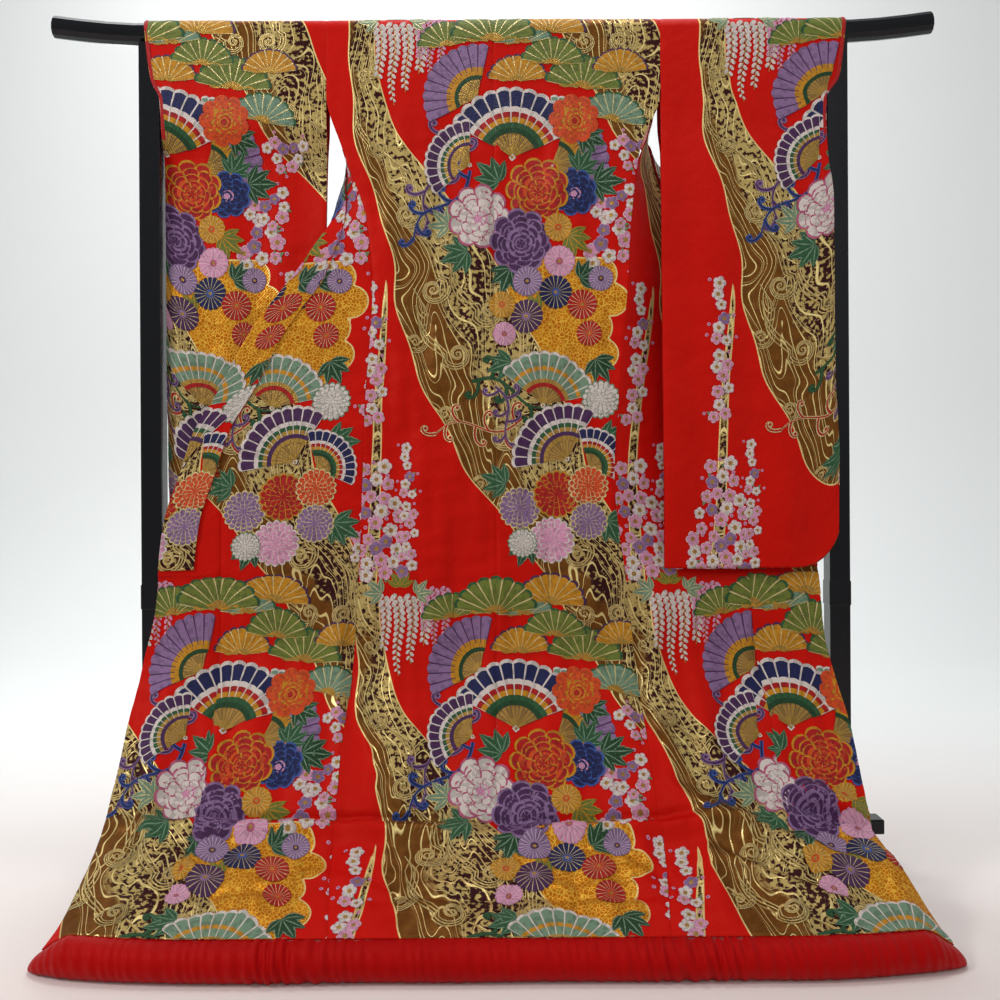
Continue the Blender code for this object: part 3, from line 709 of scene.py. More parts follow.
    def okumi_share(self, side: Side, length: float) -> float:
        """Where the overlap panel's seam lies, as a share of the opened front."""
        start, end = self.side_point(side, length)[0], self.edge_point(side, length)[0]
        seam = side.value * read_rows(self.okumi_seam, length, self.column(side))
        return min(max((seam - start) / (end - start), 0.05), 0.985)

    def row_width(self, side: Side, length: float) -> float:
        """Width of an opened front at a length."""
        return float(np.linalg.norm(self.edge_point(side, length) - self.side_point(side, length)))


def ripples(x: np.ndarray, length: float) -> np.ndarray:
    """Slow, low ripples of a millimetre or two, drawn out along the warp."""
    waves = (
        # height, turns for each metre across, turns for each metre along, start
        (0.002, 7.0, 1.1, 0.3), (0.0017, 11.0, -1.7, 1.9), (0.0012, 17.0, 2.3, 4.1),
        (0.0008, 29.0, -1.3, 2.2), (0.001, 5.0, 6.0, 5.0), (0.0004, 3.0, 27.0, 1.0),
    )
    total = np.zeros_like(x)
    for height, across, along, start in waves:
        total += height * np.sin(math.tau * (across * x + along * length) + start)
    return total


@dataclass
class Surface:
    """A cloth's outer face on a fine grid, with its place on the flat, uncut brocade.

    Attributes:
        points: Rows down the cloth, then columns across, then x, y and z.
        outward: Which way the cross of across and down points out: 1 or -1.
        lengths: Length from the shoulder of each row.
        shares: Place of each column, from 0 to 1.
        flat_start: The flat x of the first column.
        flat_side: 1 where flat x grows with the columns, else -1.
        widths: Real width of each row.
    """

    points: np.ndarray
    outward: float
    lengths: np.ndarray
    shares: np.ndarray
    flat_start: float
    flat_side: float
    widths: np.ndarray

    def normals(self) -> np.ndarray:
        """Outward directions at the grid's points."""
        down = np.gradient(self.points, axis=0)
        across = np.gradient(self.points, axis=1)
        normal = np.cross(across, down) * self.outward
        return normal / np.maximum(np.linalg.norm(normal, axis=2, keepdims=True), 1e-9)

    def flat_x(self) -> np.ndarray:
        """Flat x of the grid's points, in metres."""
        return self.flat_start + self.flat_side * self.shares[None, :] * self.widths[:, None]

    def raised(self, x: np.ndarray, length: np.ndarray, lift: np.ndarray) -> np.ndarray:
        """Points over the cloth, for places on the flat brocade.

        Args:
            x: Flat x of each point; one beyond an edge is brought to the edge.
            length: Length from the shoulder of each point.
            lift: Height over the cloth's face.

        Returns:
            The points.
        """
        rows = np.interp(length, self.lengths, np.arange(len(self.lengths)))
        width = np.interp(length, self.lengths, self.widths)
        share = np.clip((x - self.flat_start) * self.flat_side / width, 0.0, 1.0)
        columns = np.interp(share, self.shares, np.arange(len(self.shares)))
        i = np.clip(rows.astype(int), 0, len(self.lengths) - 2)
        j = np.clip(columns.astype(int), 0, len(self.shares) - 2)
        a, b = (rows - i)[:, None], (columns - j)[:, None]

        def blend(grid: np.ndarray) -> np.ndarray:
            """The grid's value between its four nearest points."""
            top = grid[i, j] * (1 - b) + grid[i, j + 1] * b
            low = grid[i + 1, j] * (1 - b) + grid[i + 1, j + 1] * b
            return top * (1 - a) + low * a

        return blend(self.points) + blend(self.normals()) * lift[:, None]

    def inside(self, x: np.ndarray, length: np.ndarray) -> np.ndarray:
        """Which places of the flat brocade are on this cloth, less its seams."""
        width = np.interp(length, self.lengths, self.widths)
        across = (x - self.flat_start) * self.flat_side
        margin = 0.0012
        on = (across > margin) & (across < width - margin)
        return on & (length > self.lengths[0] + margin) & (length < self.lengths[-1] - margin)


@dataclass(frozen=True)
class Ground:
    """Where the stream and the cloud lie on the flat brocade.

    Flat x is 0 at the middle of the pattern, which two loom widths share, and the pattern
    repeats down the cloth.
    """

    repeat: float = 1.06
    stream: Rows = (
        # length, middle, half width
        (-0.1, -0.262, 0.016), (0.0, -0.252, 0.022), (0.14, -0.24, 0.026), (0.28, -0.19, 0.052),
        (0.42, -0.122, 0.084), (0.56, -0.062, 0.112), (0.7, -0.012, 0.126), (0.84, 0.056, 0.116),
        (0.98, 0.144, 0.098), (1.1, 0.21, 0.09), (1.24, 0.276, 0.076), (1.36, 0.33, 0.04),
        (1.46, 0.39, 0.01),
    )
    branch: Rows = (
        # length, middle, half width
        (0.46, -0.2, -0.004), (0.56, -0.206, 0.004), (0.76, -0.222, 0.007), (0.92, -0.226, 0.009),
        (1.04, -0.236, 0.012), (1.14, -0.25, 0.016),
    )
    clouds: Rows = (
        # length, flat x at one end, flat x at the other, radius
        (0.492, 0.055, 0.2, 0.03), (0.54, 0.01, 0.222, 0.03), (0.59, 0.03, 0.19, 0.032),
        (0.64, -0.02, 0.205, 0.028), (0.69, 0.04, 0.16, 0.026),
    )

    def fields(self, x: np.ndarray, length: float) -> tuple[np.ndarray, np.ndarray, np.ndarray]:
        """Distances into the stream and the cloud, and the way across the stream.

        Args:
            x: Flat x of each place in a row.
            length: The row's length from the shoulder, below 0 behind the rod.

        Returns:
            Stream, flow and cloud, in metres.
        """
        base = length % self.repeat
        stream = np.full_like(x, -1.0)
        flow = np.zeros_like(x)
        wobble = 0.006 * math.sin(base * 19.0) + 0.004 * math.sin(base * 41.0 + 1.0)
        for rows in (self.stream, self.branch):
            for at in (base, base + self.repeat):
                if not rows[0][0] <= at <= rows[-1][0]:
                    continue
                middle = read_rows(rows, at, 1) + (wobble if rows is self.stream else 0.0)
                into = read_rows(rows, at, 2) - np.abs(x - middle)
                nearer = into > stream
                flow = np.where(nearer, x - middle, flow)
                stream = np.maximum(stream, into)
        cloud = np.full_like(x, -1.0)
        for at, first, last, radius in self.clouds:
            beyond = np.maximum(np.maximum(first - x, x - last), 0.0)
            cloud = np.maximum(cloud, radius - np.hypot(beyond, base - at))
        return stream, flow, np.minimum(cloud, -stream)


@dataclass
class Motif:
    """A woven figure as a flat mesh about its own middle.

    Attributes:
        points: Flat x, length and height over the cloth, in metres.
        faces: Corner numbers of four-sided faces.
        threads: The thread of each face, by its number.
    """

    points: np.ndarray
    faces: np.ndarray
    threads: np.ndarray

    def placed(self, x: float, length: float, turn: float, size: float, lift: float) -> Motif:
        """The motif turned by degrees, scaled and moved."""
        angle = math.radians(turn)
        turned = self.points * np.array([size, size, 1.0])
        moved = np.empty_like(turned)
        moved[:, 0] = turned[:, 0] * math.cos(angle) - turned[:, 1] * math.sin(angle) + x
        moved[:, 1] = turned[:, 0] * math.sin(angle) + turned[:, 1] * math.cos(angle) + length
        moved[:, 2] = turned[:, 2] + lift
        return Motif(moved, self.faces, self.threads)


def joined(motifs: list[Motif]) -> Motif:
    """Several motifs as one."""
    counts = np.cumsum([0] + [len(m.points) for m in motifs])
    return Motif(
        np.concatenate([m.points for m in motifs]),
        np.concatenate([m.faces + start for m, start in zip(motifs, counts)]),
        np.concatenate([m.threads for m in motifs]),
    )


THREADS = list(Thread)


@dataclass
class Figures:
    """Draws the brocade's figures: flowers, leaves, pines, fans, tendrils and whirls.

    Attributes:
        made: The figures drawn so far, by name.
    """

    made: dict[str, Motif] = field(default_factory=dict)

    def patch(
        self,
        around: int,
        rings: int,
        place: Callable[[float, float], tuple[float, float, float]],
        thread: Callable[[float, float], Thread],
    ) -> Motif:
        """Makes a figure from a bmesh grid.

        Args:
            around: Faces the first way.
            rings: Faces the second way.
            place: Gives x, length and height for both ways from 0 to 1.
            thread: Gives the thread of a face by its middle, both ways from 0 to 1.

        Returns:
            The figure.
        """
        bm = bmesh.new()
        bmesh.ops.create_grid(bm, x_segments=around, y_segments=rings, size=0.5)
        spots = [(v.co.x + 0.5, v.co.y + 0.5) for v in bm.verts]
        points = np.array([place(u, v) for u, v in spots])
        faces, threads = [], []
        for face in bm.faces:
            corners = [v.index for v in face.verts]
            u = sum(spots[c][0] for c in corners) / 4
            v = sum(spots[c][1] for c in corners) / 4
            faces.append(corners)
            threads.append(THREADS.index(thread(u, v)))
        bm.free()
        return Motif(points, np.array(faces), np.array(threads))

    def bloom(
        self,
        radius: float,
        petals: int,
        notch: float,
        rings: int,
        threads: tuple[Thread, ...],
        line: Thread | None = None,
        height: float = 0.0006,
        inner: float = 0.0,
        arc: tuple[float, float] = (0.0, 360.0),
        round_ends: float = 0.5,
        each: int = 6,
    ) -> Motif:
        """A round figure of petals, or part of one.

        Args:
            radius: Its radius in metres.
            petals: How many petals go round it.
            notch: How deep the gaps between petals go, as a share of the radius.
            rings: Rings of faces from the middle out.
            threads: Threads from the middle out, shared evenly over the rings.
            line: Thread of the lines between petals, if they show.
            height: Height over the cloth.
            inner: Radius of a hole in the middle, as a share.
            arc: Start and end of the part to draw, in degrees.
            round_ends: Power that rounds the petals' ends.
            each: Faces across each petal.

        Returns:
            The figure.
        """
        around = petals * each
        thin = 0.07

        def drawn_in(within: float) -> float:
            """Narrows the first and last face of a petal."""
            near = min(within, 1 - within) * each
            share = near * thin if near < 1 else thin + (near - 1) / (each / 2 - 1) * (0.5 - thin)
            return share if within < 0.5 else 1 - share

        def place(u: float, v: float) -> tuple[float, float, float]:
            whole = math.floor(u * petals + 1e-6)
            u = (whole + drawn_in(min(max(u * petals - whole, 0.0), 1.0))) / petals
            angle = math.radians(arc[0] + (arc[1] - arc[0]) * u)
            lobe = abs(math.sin(math.pi * u * petals)) ** round_ends
            last = 1 - 1 / rings
            v = v / last * 0.92 if v <= last + 1e-6 and rings > 2 else v
            reach = radius * (inner + (1 - inner) * v) * (1 - notch * (1 - lobe) * v)
            rise = height * (1 + 0.35 * lobe * math.sin(math.pi * min(v, 0.95)))
            rise *= 0.35 if v > 0.999 else 1.0
            return reach * math.cos(angle), reach * math.sin(angle), rise

        def thread(u: float, v: float) -> Thread:
            if line and v > 0.2 and int(u * around) % each in (0, each - 1):
                return line
            return threads[min(int(v * len(threads)), len(threads) - 1)]

        return self.patch(around, rings, place, thread)

    def ribbon(
        self,
        path: list[tuple[float, float]],
        breadth: float,
        threads: tuple[Thread, ...],
        height: float = 0.0009,
        taper: float = 0.8,
    ) -> Motif:
        """A band along a path, narrower towards its end.

        Args:
            path: Flat places in metres.
            breadth: Full width at its start.
            threads: Threads across the band.
            height: Height over the cloth.
            taper: How much of the width its end loses.

        Returns:
            The figure.
        """
        line = np.array(path)
        along = np.gradient(line, axis=0)
        along /= np.maximum(np.linalg.norm(along, axis=1, keepdims=True), 1e-9)
        sideways = np.stack([-along[:, 1], along[:, 0]], axis=1)
        last = len(line) - 1

        def place(u: float, v: float) -> tuple[float, float, float]:
            i = round(u * last)
            half = breadth / 2 * (1 - taper * u**1.5)
            x, length = line[i] + sideways[i] * half * (2 * v - 1)
            return x, length, height * (0.5 if v in (0.0, 1.0) else 1.0)

        def thread(u: float, v: float) -> Thread:
            return threads[min(int(v * len(threads)), len(threads) - 1)]

        return self.patch(last, len(threads), place, thread)

    def curl(self, size: float, turns: float, start: float, way: int) -> list[tuple[float, float]]:
        """A path that runs out and coils up at its end."""
        path = []
        count = int(14 + 14 * turns)
        x = length = 0.0
        angle = start
        for i in range(count + 1):
            t = i / count
            path.append((x, length))
            angle += way * turns * math.tau / count * (0.25 + 1.9 * t**2.0)
            step = size / count * (1.25 - 0.95 * t)
            x += step * math.cos(angle)
            length += step * math.sin(angle)
        return path

    def cherry(self, petal: Thread, edge: Thread) -> Motif:
        """A five-petalled cherry blossom of 24 mm."""
        petals, turn = 5, 36
        flower = self.bloom(
            0.012, petals, 0.30, 4, (Thread.GOLD, petal, petal, edge), None, 0.0008
        )
        lines = self.bloom(
            0.0105, petals, 0.0, 1, (Thread.ROSE,), None, 0.0013, arc=(turn, turn + 360),
            round_ends=0.2, each=4,
        )
        thin = lines.points.copy()
        angle = np.arctan2(thin[:, 1], thin[:, 0])
        near = np.abs(((angle - math.radians(turn)) / math.tau * petals + 0.5) % 1.0 - 0.5)
        keep = near[lines.faces].max(axis=1) < 0.22
        parted = Motif(thin * [0.75, 0.75, 1.0], lines.faces[keep], lines.threads[keep])
        return joined([flower, parted])

    def leaf(self, length: float, width: float, body: Thread, vein: Thread) -> Motif:
        """A pointed leaf with its midrib and edge."""

        def place(u: float, v: float) -> tuple[float, float, float]:
            half = width / 2 * math.sin(math.pi * u**0.8) * (1 + 0.12 * math.sin(u * 40))
            return u * length, half * (2 * v - 1), 0.0006 + 0.0003 * (1 - abs(2 * v - 1))

        def thread(u: float, v: float) -> Thread:
            return vein if v < 0.12 or v > 0.88 or 0.45 < v < 0.55 else body

        return self.patch(12, 9, place, thread)

    def leaves(self, count: int, length: float, body: Thread, vein: Thread) -> Motif:
        """A spray of leaves from one point."""
        one = self.leaf(length, length * 0.42, body, vein)
        spread = 130.0
        turns = [-spread / 2 + spread * i / max(count - 1, 1) for i in range(count)]
        return joined([one.placed(0, 0, t, 1.0 - abs(t) / 260, 0.0) for t in turns])

    def peony(self, outer: Thread, body: Thread, heart: Thread, edge: Thread) -> Motif:
        """A full peony of 90 mm in five layers of ruffled petals."""
        layers = []
        for i, (radius, petals, turn) in enumerate(
            ((0.045, 9, 0), (0.037, 8, 17), (0.029, 7, 41), (0.020, 6, 12), (0.011, 5, 30))
        ):
            inside = (body, outer, body, heart, heart)[i]
            layer = self.bloom(
                radius, petals, 0.20, 6, (inside, inside, inside, body, outer, edge), edge,
                0.0007, round_ends=0.45, each=6,
            )
            layers.append(layer.placed(0.002 * (i % 2), 0.001 * i, turn, 1.0, 0.00035 * i))
        return joined(layers)

    def chrysanthemum(self, petal: Thread, line: Thread, heart: Thread, petals: int = 18) -> Motif:
        """A flat round chrysanthemum of 60 mm, its petals parted by fine lines."""
        disc = self.bloom(
            0.030, petals, 0.10, 5, (heart, petal, petal, petal, petal), line, 0.0008, each=4
        )
        middle = self.bloom(0.007, 8, 0.15, 2, (Thread.GOLD, heart), None, 0.0013, each=3)
        return joined([disc, middle])

    def full_chrysanthemum(self, petal: Thread, line: Thread) -> Motif:
        """A domed chrysanthemum of 70 mm, with rows of short petals over each other."""
        rows = []
        for i, (radius, petals) in enumerate(((0.035, 18), (0.028, 16), (0.021, 13), (0.013, 9))):
            row = self.bloom(
                radius, petals, 0.16, 4, (petal, petal, petal, line), line, 0.0007, each=5
            )
            rows.append(row.placed(0, 0, 11.0 * i, 1.0, 0.0003 * i))
        return joined(rows)

    def pine(self, needles: Thread, edge: Thread) -> Motif:
        """A cloud-shaped pine spray of 90 mm: needles fan out to a scalloped edge."""
        fan = self.bloom(
            0.045, 9, 0.10, 7, (Thread.GOLD, needles, needles, needles, needles, needles, edge),
            Thread.PALE_GOLD, 0.0008, inner=0.12, arc=(188, 352), each=6,
        )
        fan.points[:, 0] *= 1.15
        twig = self.ribbon(
            [(-0.030 + 0.006 * i, -0.004 + 0.002 * math.sin(i * 1.3)) for i in range(11)],
            0.004, (Thread.OCHRE, Thread.GOLD), 0.0012, 0.2,
        )
        return joined([fan, twig])

    def folding_fan(
        self, bands: tuple[Thread, ...], leaf: Thread, edge: Thread, rib: Thread
    ) -> Motif:
        """An open folding fan of 110 mm: its sticks, five narrow bands, a broad one and an edge."""
        threads = (*bands, leaf, leaf, leaf, edge)
        paper = self.bloom(
            0.075, 11, 0.05, 9, threads, rib, 0.0010, inner=0.34, arc=(205, 335), each=5
        )
        sticks = self.bloom(
            0.0255, 11, 0.0, 3, (Thread.GOLD,), Thread.PURPLE, 0.0009, arc=(207, 333), each=3
        )
        knot = self.bloom(0.004, 4, 0.1, 2, (Thread.GOLD, Thread.WHITE), None, 0.0015, each=3)
        return joined([paper, sticks, knot])

    def wisteria(self, petal: Thread, strands: int) -> Motif:
        """Hanging wisteria strands, each of small paired petals on a gold stalk."""
        petal_shape = self.bloom(0.0042, 1, 0.5, 2, (petal,), None, 0.0009, each=9)
        petal_shape.points[:, 1] *= 1.5
        parts = []
        for strand in range(strands):
            x0 = 0.020 * strand
            count = (9, 13, 11, 8)[strand % 4]
            stalk = [(x0 + 0.003 * math.sin(i * 0.5), 0.009 * i) for i in range(count + 1)]
            parts.append(self.ribbon(stalk, 0.0016, (Thread.GOLD,), 0.0006, 0.3))
            for i, (x, length) in enumerate(stalk[:-1]):
                size = 1.15 - 0.055 * i
                parts.append(petal_shape.placed(x - 0.0048 * size, length, 35, size, 0.0))
                parts.append(petal_shape.placed(x + 0.0048 * size, length + 0.003, -35, size, 0.0))
        return joined(parts)

    def tendril_scroll(self, body: Thread, edge: Thread) -> Motif:
        """A scrolling stem with curled tendrils to both sides."""
        stem = [(0.018 * math.sin(i * 0.22), 0.0065 * i) for i in range(29)]
        parts = [self.ribbon(stem, 0.0075, (edge, body, body, edge), 0.0010, 0.6)]
        for at, size, turns, start, way in (
            (2, 0.085, 1.15, 2.7, 1),
            (6, 0.090, 1.20, 0.3, -1),
            (11, 0.080, 1.20, 2.6, 1),
            (15, 0.085, 1.15, 0.5, -1),
            (20, 0.070, 1.20, 2.4, 1),
            (24, 0.065, 1.20, 0.7, -1),
            (28, 0.060, 1.10, 1.4, 1),
        ):
            path = self.curl(size, turns, start, way)
            twig = self.ribbon(path, 0.0080, (edge, body, body, edge), 0.0011, 0.35)
            ball = self.bloom(0.0062, 1, 0.0, 2, (body, edge), None, 0.0016, each=10)
            twig = joined([twig, ball.placed(*path[-1], 0.0, 1.0, 0.0)])
            parts.append(twig.placed(*stem[at], 0.0, 1.0, 0.0))
        return joined(parts)

    def eddy(self, way: int) -> Motif:
        """A whirl of the stream: gold lines that run in side by side and coil up."""
        parts = []
        for i, turns in enumerate((2.2, 1.9, 1.6)):
            start = 0.030 * (1 + 0.24 * i)
            reach = 0.16 - 0.02 * i
            path = [
                (way * (start + 0.012 * math.sin(0.5 * n)), reach * (n / 9 - 1)) for n in range(9)
            ]
            for n in range(38):
                angle = turns * math.tau * n / 37
                radius = start * math.exp(-0.17 * angle)
                path.append((way * radius * math.cos(angle), radius * math.sin(angle)))
            parts.append(self.ribbon(path, 0.0036, (Thread.PALE_GOLD, Thread.GOLD), 0.0006, 0.35))
        return joined(parts)

    def blossom_bough(self, seed: int, count: int, length: float, width: float) -> Motif:
        """A tapering cluster of cherry blossoms and buds with small leaves."""
        rng = np.random.default_rng(seed)
        white = self.get("cherry_white")
        pink = self.get("cherry_pink")
        mauve = self.get("cherry_mauve")
        bud = self.bloom(0.0032, 1, 0.0, 2, (Thread.ROSE, Thread.PINK), None, 0.0008, each=8)
        sprig = self.leaves(3, 0.016, Thread.SAGE, Thread.OLIVE)
        parts, spots = [], []
        for _ in range(count * 30):
            if len(spots) >= count:
                break
            along = rng.random() ** 0.7
            spot = np.array([(rng.random() - 0.5) * width * (0.25 + 0.75 * along), along * length])
            if all(np.hypot(*(spot - other)) > 0.0175 for other in spots):
                spots.append(spot)
        for i, (x, y) in enumerate(spots):
            kind = (pink, white, pink, mauve, pink, white)[rng.integers(6)]
            turn, size = rng.random() * 72, 0.8 + 0.25 * rng.random()
            parts.append(kind.placed(x, y, turn, size, 0.0002 * (i % 3)))
            if i % 2 == 0:
                side = 0.017 if rng.random() > 0.5 else -0.017
                parts.append(bud.placed(x + side, y - 0.006, 0, 1.0, 0.0))
            if i % 4 == 0:
                parts.append(sprig.placed(x, y, 360 * rng.random(), 1.0, -0.0002))
        return joined(parts)

    def get(self, name: str) -> Motif:
        """A figure by name, drawn at its first use."""
        if name not in self.made:
            self.made[name] = self.draw(name)
        return self.made[name]

    def draw(self, name: str) -> Motif:
        """Draws a figure by its family and kind."""
        t = Thread
        families: dict[str, tuple[Callable[..., Motif], dict[str, tuple]]] = {
            "cherry": (self.cherry, {
                "white": (t.WHITE, t.PINK), "pink": (t.PINK, t.WHITE), "mauve": (t.LILAC, t.PINK),
            }),
            "peony": (self.peony, {
                "red": (t.RED, t.ORANGE, t.RED, t.OCHRE),
                "white": (t.WHITE, t.WHITE, t.PINK, t.ROSE),
                "purple": (t.PURPLE, t.LILAC, t.PURPLE, t.LILAC),
                "navy": (t.NAVY, t.NAVY, t.PINK, t.BLUE),
                "orange": (t.ORANGE, t.OCHRE, t.RED, t.ORANGE),
            }),
            "mum": (self.chrysanthemum, {
                "pink": (t.PINK, t.WHITE, t.ROSE), "navy": (t.NAVY, t.PALE_GOLD, t.BLUE),
                "red": (t.RED, t.PALE_GOLD, t.ORANGE), "purple": (t.PURPLE, t.PALE_GOLD, t.LILAC),
                "lilac": (t.LILAC, t.WHITE, t.PURPLE, 22),
                "ochre": (t.OCHRE, t.PALE_GOLD, t.ORANGE),
            }),
            "full": (self.full_chrysanthemum, {
                "orange": (t.ORANGE, t.PALE_GOLD), "red": (t.RED, t.OCHRE),
                "purple": (t.LILAC, t.PALE_GOLD), "pink": (t.PINK, t.WHITE),
                "white": (t.WHITE, t.SAGE),
            }),
            "pine": (self.pine, {
                "olive": (t.OLIVE, t.LEAF), "sage": (t.SAGE, t.LEAF), "ochre": (t.OCHRE, t.PURPLE),
            }),
            "leaves": (self.leaves, {
                "green": (5, 0.040, t.LEAF, t.SAGE), "pine": (5, 0.038, t.PINE, t.SAGE),
                "olive": (5, 0.038, t.OLIVE, t.OCHRE), "sage": (4, 0.034, t.SAGE, t.PALE_GOLD),
            }),
            "fan": (self.folding_fan, {
                "day": ((t.PINE, t.LEAF, t.OCHRE, t.RED, t.WHITE), t.NAVY, t.WHITE, t.WHITE),
                "dusk": ((t.GOLD, t.PURPLE, t.GOLD, t.LEAF, t.WHITE), t.PURPLE, t.WHITE, t.WHITE),
                "lilac": ((t.PINE, t.OCHRE, t.OCHRE, t.LILAC, t.LILAC), t.LILAC, t.LILAC, t.PURPLE),
                "sage": ((t.RED, t.GOLD, t.SAGE, t.SAGE, t.OCHRE), t.SAGE, t.WHITE, t.WHITE),
            }),
            "scroll": (self.tendril_scroll, {
                "purple": (t.PURPLE, t.LILAC), "navy": (t.NAVY, t.BLUE), "green": (t.LEAF, t.PINE),
                "red": (t.RED, t.PALE_GOLD),
            }),
            "bough": (self.blossom_bough, {
                "large": (3, 34, 0.17, 0.13), "slim": (8, 17, 0.24, 0.034),
                "small": (5, 13, 0.075, 0.075),
            }),
            "eddy": (self.eddy, {"": (1,), "back": (-1,)}),
            "wisteria": (self.wisteria, {"": (t.WHITE, 4), "pink": (t.PINK, 3)}),
        }
        family, _, kind = name.partition("_")
        make, kinds = families[family]
        return make(*kinds[kind])


@dataclass(frozen=True)
class Layout:
    """Where the figures lie on one repeat of the brocade, from the lowest layer up."""

    spots: tuple[tuple[str, float, float, float, float], ...] = (
        # figure, flat x, length, turn in degrees, size
        ("eddy", -0.24, 0.12, -8.0, 0.42), ("eddy_back", -0.215, 0.255, -15.0, 0.55),
        ("eddy", -0.165, 0.38, -30.0, 0.75), ("eddy_back", -0.075, 0.43, -25.0, 0.65),
        ("eddy", -0.115, 0.52, -35.0, 0.8), ("eddy_back", -0.01, 0.56, -25.0, 0.8),
        ("eddy", -0.15, 0.615, -12.0, 0.6), ("eddy_back", -0.07, 0.64, -30.0, 0.75),
        ("eddy", 0.04, 0.655, -20.0, 0.7), ("eddy_back", -0.095, 0.75, -20.0, 0.65),
        ("eddy", 0.015, 0.79, -35.0, 0.9), ("eddy_back", -0.03, 0.88, -30.0, 0.75),
        ("eddy", 0.085, 0.9, -25.0, 0.75), ("eddy_back", 0.05, 0.995, -35.0, 0.85),
        ("eddy", 0.15, 1.01, -25.0, 0.8), ("eddy_back", 0.17, 0.06, -35.0, 0.6),
        ("eddy", 0.235, 0.06, -25.0, 0.75), ("eddy_back", 0.265, 0.19, -25.0, 0.7),
        ("eddy", 0.32, 0.28, -25.0, 0.55), ("scroll_purple", -0.085, 0.215, 12.0, 1.0),
        ("scroll_navy", -0.045, 0.3, 40.0, 0.9), ("scroll_green", -0.045, 0.69, -75.0, 0.9),
        ("scroll_red", 0.05, 0.76, 80.0, 0.9), ("scroll_purple", 0.0, 0.7, -20.0, 0.7),
        ("wisteria", -0.21, 0.03, 0.0, 1.25), ("wisteria_pink", -0.135, 0.015, 0.0, 1.0),
        ("leaves_sage", -0.215, 0.022, 200.0, 1.2), ("leaves_sage", -0.15, 0.024, 330.0, 1.1),
        ("leaves_olive", -0.18, 0.01, 270.0, 1.0), ("bough_small", 0.215, 0.375, 0.0, 1.3),
        ("bough_small", 0.265, 0.33, 40.0, 1.1), ("bough_small", 0.305, 0.25, 70.0, 1.0),
        ("bough_slim", -0.228, 0.5, 0.0, 1.1), ("bough_large", -0.228, 0.845, 0.0, 1.2),
        ("bough_slim", -0.165, 0.8, 0.0, 0.9), ("bough_slim", 0.275, 0.48, 0.0, 1.1),
        ("bough_large", 0.3, 0.86, 0.0, 1.0), ("fan_lilac", -0.03, 0.165, -52.0, 1.35),
        ("fan_sage", 0.11, 0.235, 62.0, 1.0), ("fan_day", 0.035, 0.275, 4.0, 1.75),
        ("fan_lilac", 0.11, 0.29, 82.0, 1.45), ("fan_dusk", -0.045, 0.29, -64.0, 1.15),
        ("pine_olive", -0.085, 0.07, -8.0, 1.1), ("pine_ochre", 0.045, 0.135, 0.0, 1.15),
        ("pine_sage", 0.22, 0.21, 14.0, 1.25), ("pine_olive", 0.165, 0.15, 6.0, 1.45),
        ("pine_ochre", 0.235, 0.12, 0.0, 1.05), ("pine_olive", 0.11, 0.105, 4.0, 1.2),
        ("pine_sage", 0.055, 0.065, -4.0, 1.1), ("pine_ochre", 0.105, 0.045, 8.0, 1.35),
        ("pine_olive", 0.0, 0.062, 0.0, 1.6), ("leaves_pine", 0.165, 0.235, 20.0, 1.3),
        ("peony_orange", 0.15, 0.205, 0.0, 1.05), ("leaves_green", 0.01, 0.32, 220.0, 1.4),
        ("leaves_pine", 0.19, 0.32, 0.0, 1.5), ("leaves_green", 0.16, 0.3, 300.0, 1.2),
        ("peony_navy", 0.15, 0.34, 0.0, 1.0), ("peony_red", 0.082, 0.335, 0.0, 1.35),
        ("leaves_green", -0.05, 0.45, 160.0, 1.4), ("leaves_pine", 0.03, 0.48, 110.0, 1.4),
        ("leaves_olive", 0.14, 0.42, 40.0, 1.3), ("leaves_sage", -0.085, 0.4, 200.0, 1.4),
        ("peony_white", -0.028, 0.385, 20.0, 1.35), ("peony_purple", 0.05, 0.43, 0.0, 1.35),
        ("mum_ochre", 0.12, 0.405, 0.0, 0.9), ("leaves_olive", 0.085, 0.56, 200.0, 1.2),
        ("leaves_pine", 0.16, 0.5, 330.0, 1.2), ("mum_pink", 0.122, 0.468, 0.0, 1.0),
        ("mum_lilac", 0.062, 0.505, 0.0, 0.95), ("mum_navy", 0.115, 0.525, 0.0, 1.05),
        ("mum_red", 0.165, 0.548, 0.0, 0.95), ("mum_purple", 0.06, 0.57, 0.0, 1.05),
        ("mum_red", 0.178, 0.602, 0.0, 0.8), ("mum_ochre", 0.014, 0.548, 0.0, 0.85),
        ("mum_pink", 0.018, 0.602, 0.0, 0.75), ("mum_lilac", 0.2, 0.5, 0.0, 0.8),
        ("leaves_pine", 0.19, 0.65, 60.0, 1.3), ("leaves_green", 0.03, 0.655, 160.0, 1.2),
        ("fan_sage", 0.09, 0.735, 14.0, 1.35), ("full_white", 0.198, 0.725, 0.0, 1.05),
        ("fan_dusk", 0.135, 0.835, -34.0, 1.4), ("leaves_green", 0.2, 0.8, 0.0, 1.4),
        ("fan_day", 0.175, 0.85, 50.0, 1.0), ("leaves_pine", 0.06, 0.985, 110.0, 1.4),
        ("leaves_green", 0.21, 0.95, 30.0, 1.4), ("leaves_green", 0.02, 0.88, 200.0, 1.3),
        ("full_purple", 0.045, 0.925, 0.0, 1.15), ("full_red", 0.115, 0.9, 0.0, 1.3),
        ("full_orange", 0.175, 0.885, 0.0, 1.1), ("full_pink", 0.105, 0.985, 0.0, 1.25),
        ("full_purple", 0.175, 0.95, 0.0, 1.05), ("full_white", 0.05, 0.99, 0.0, 0.8),
    )


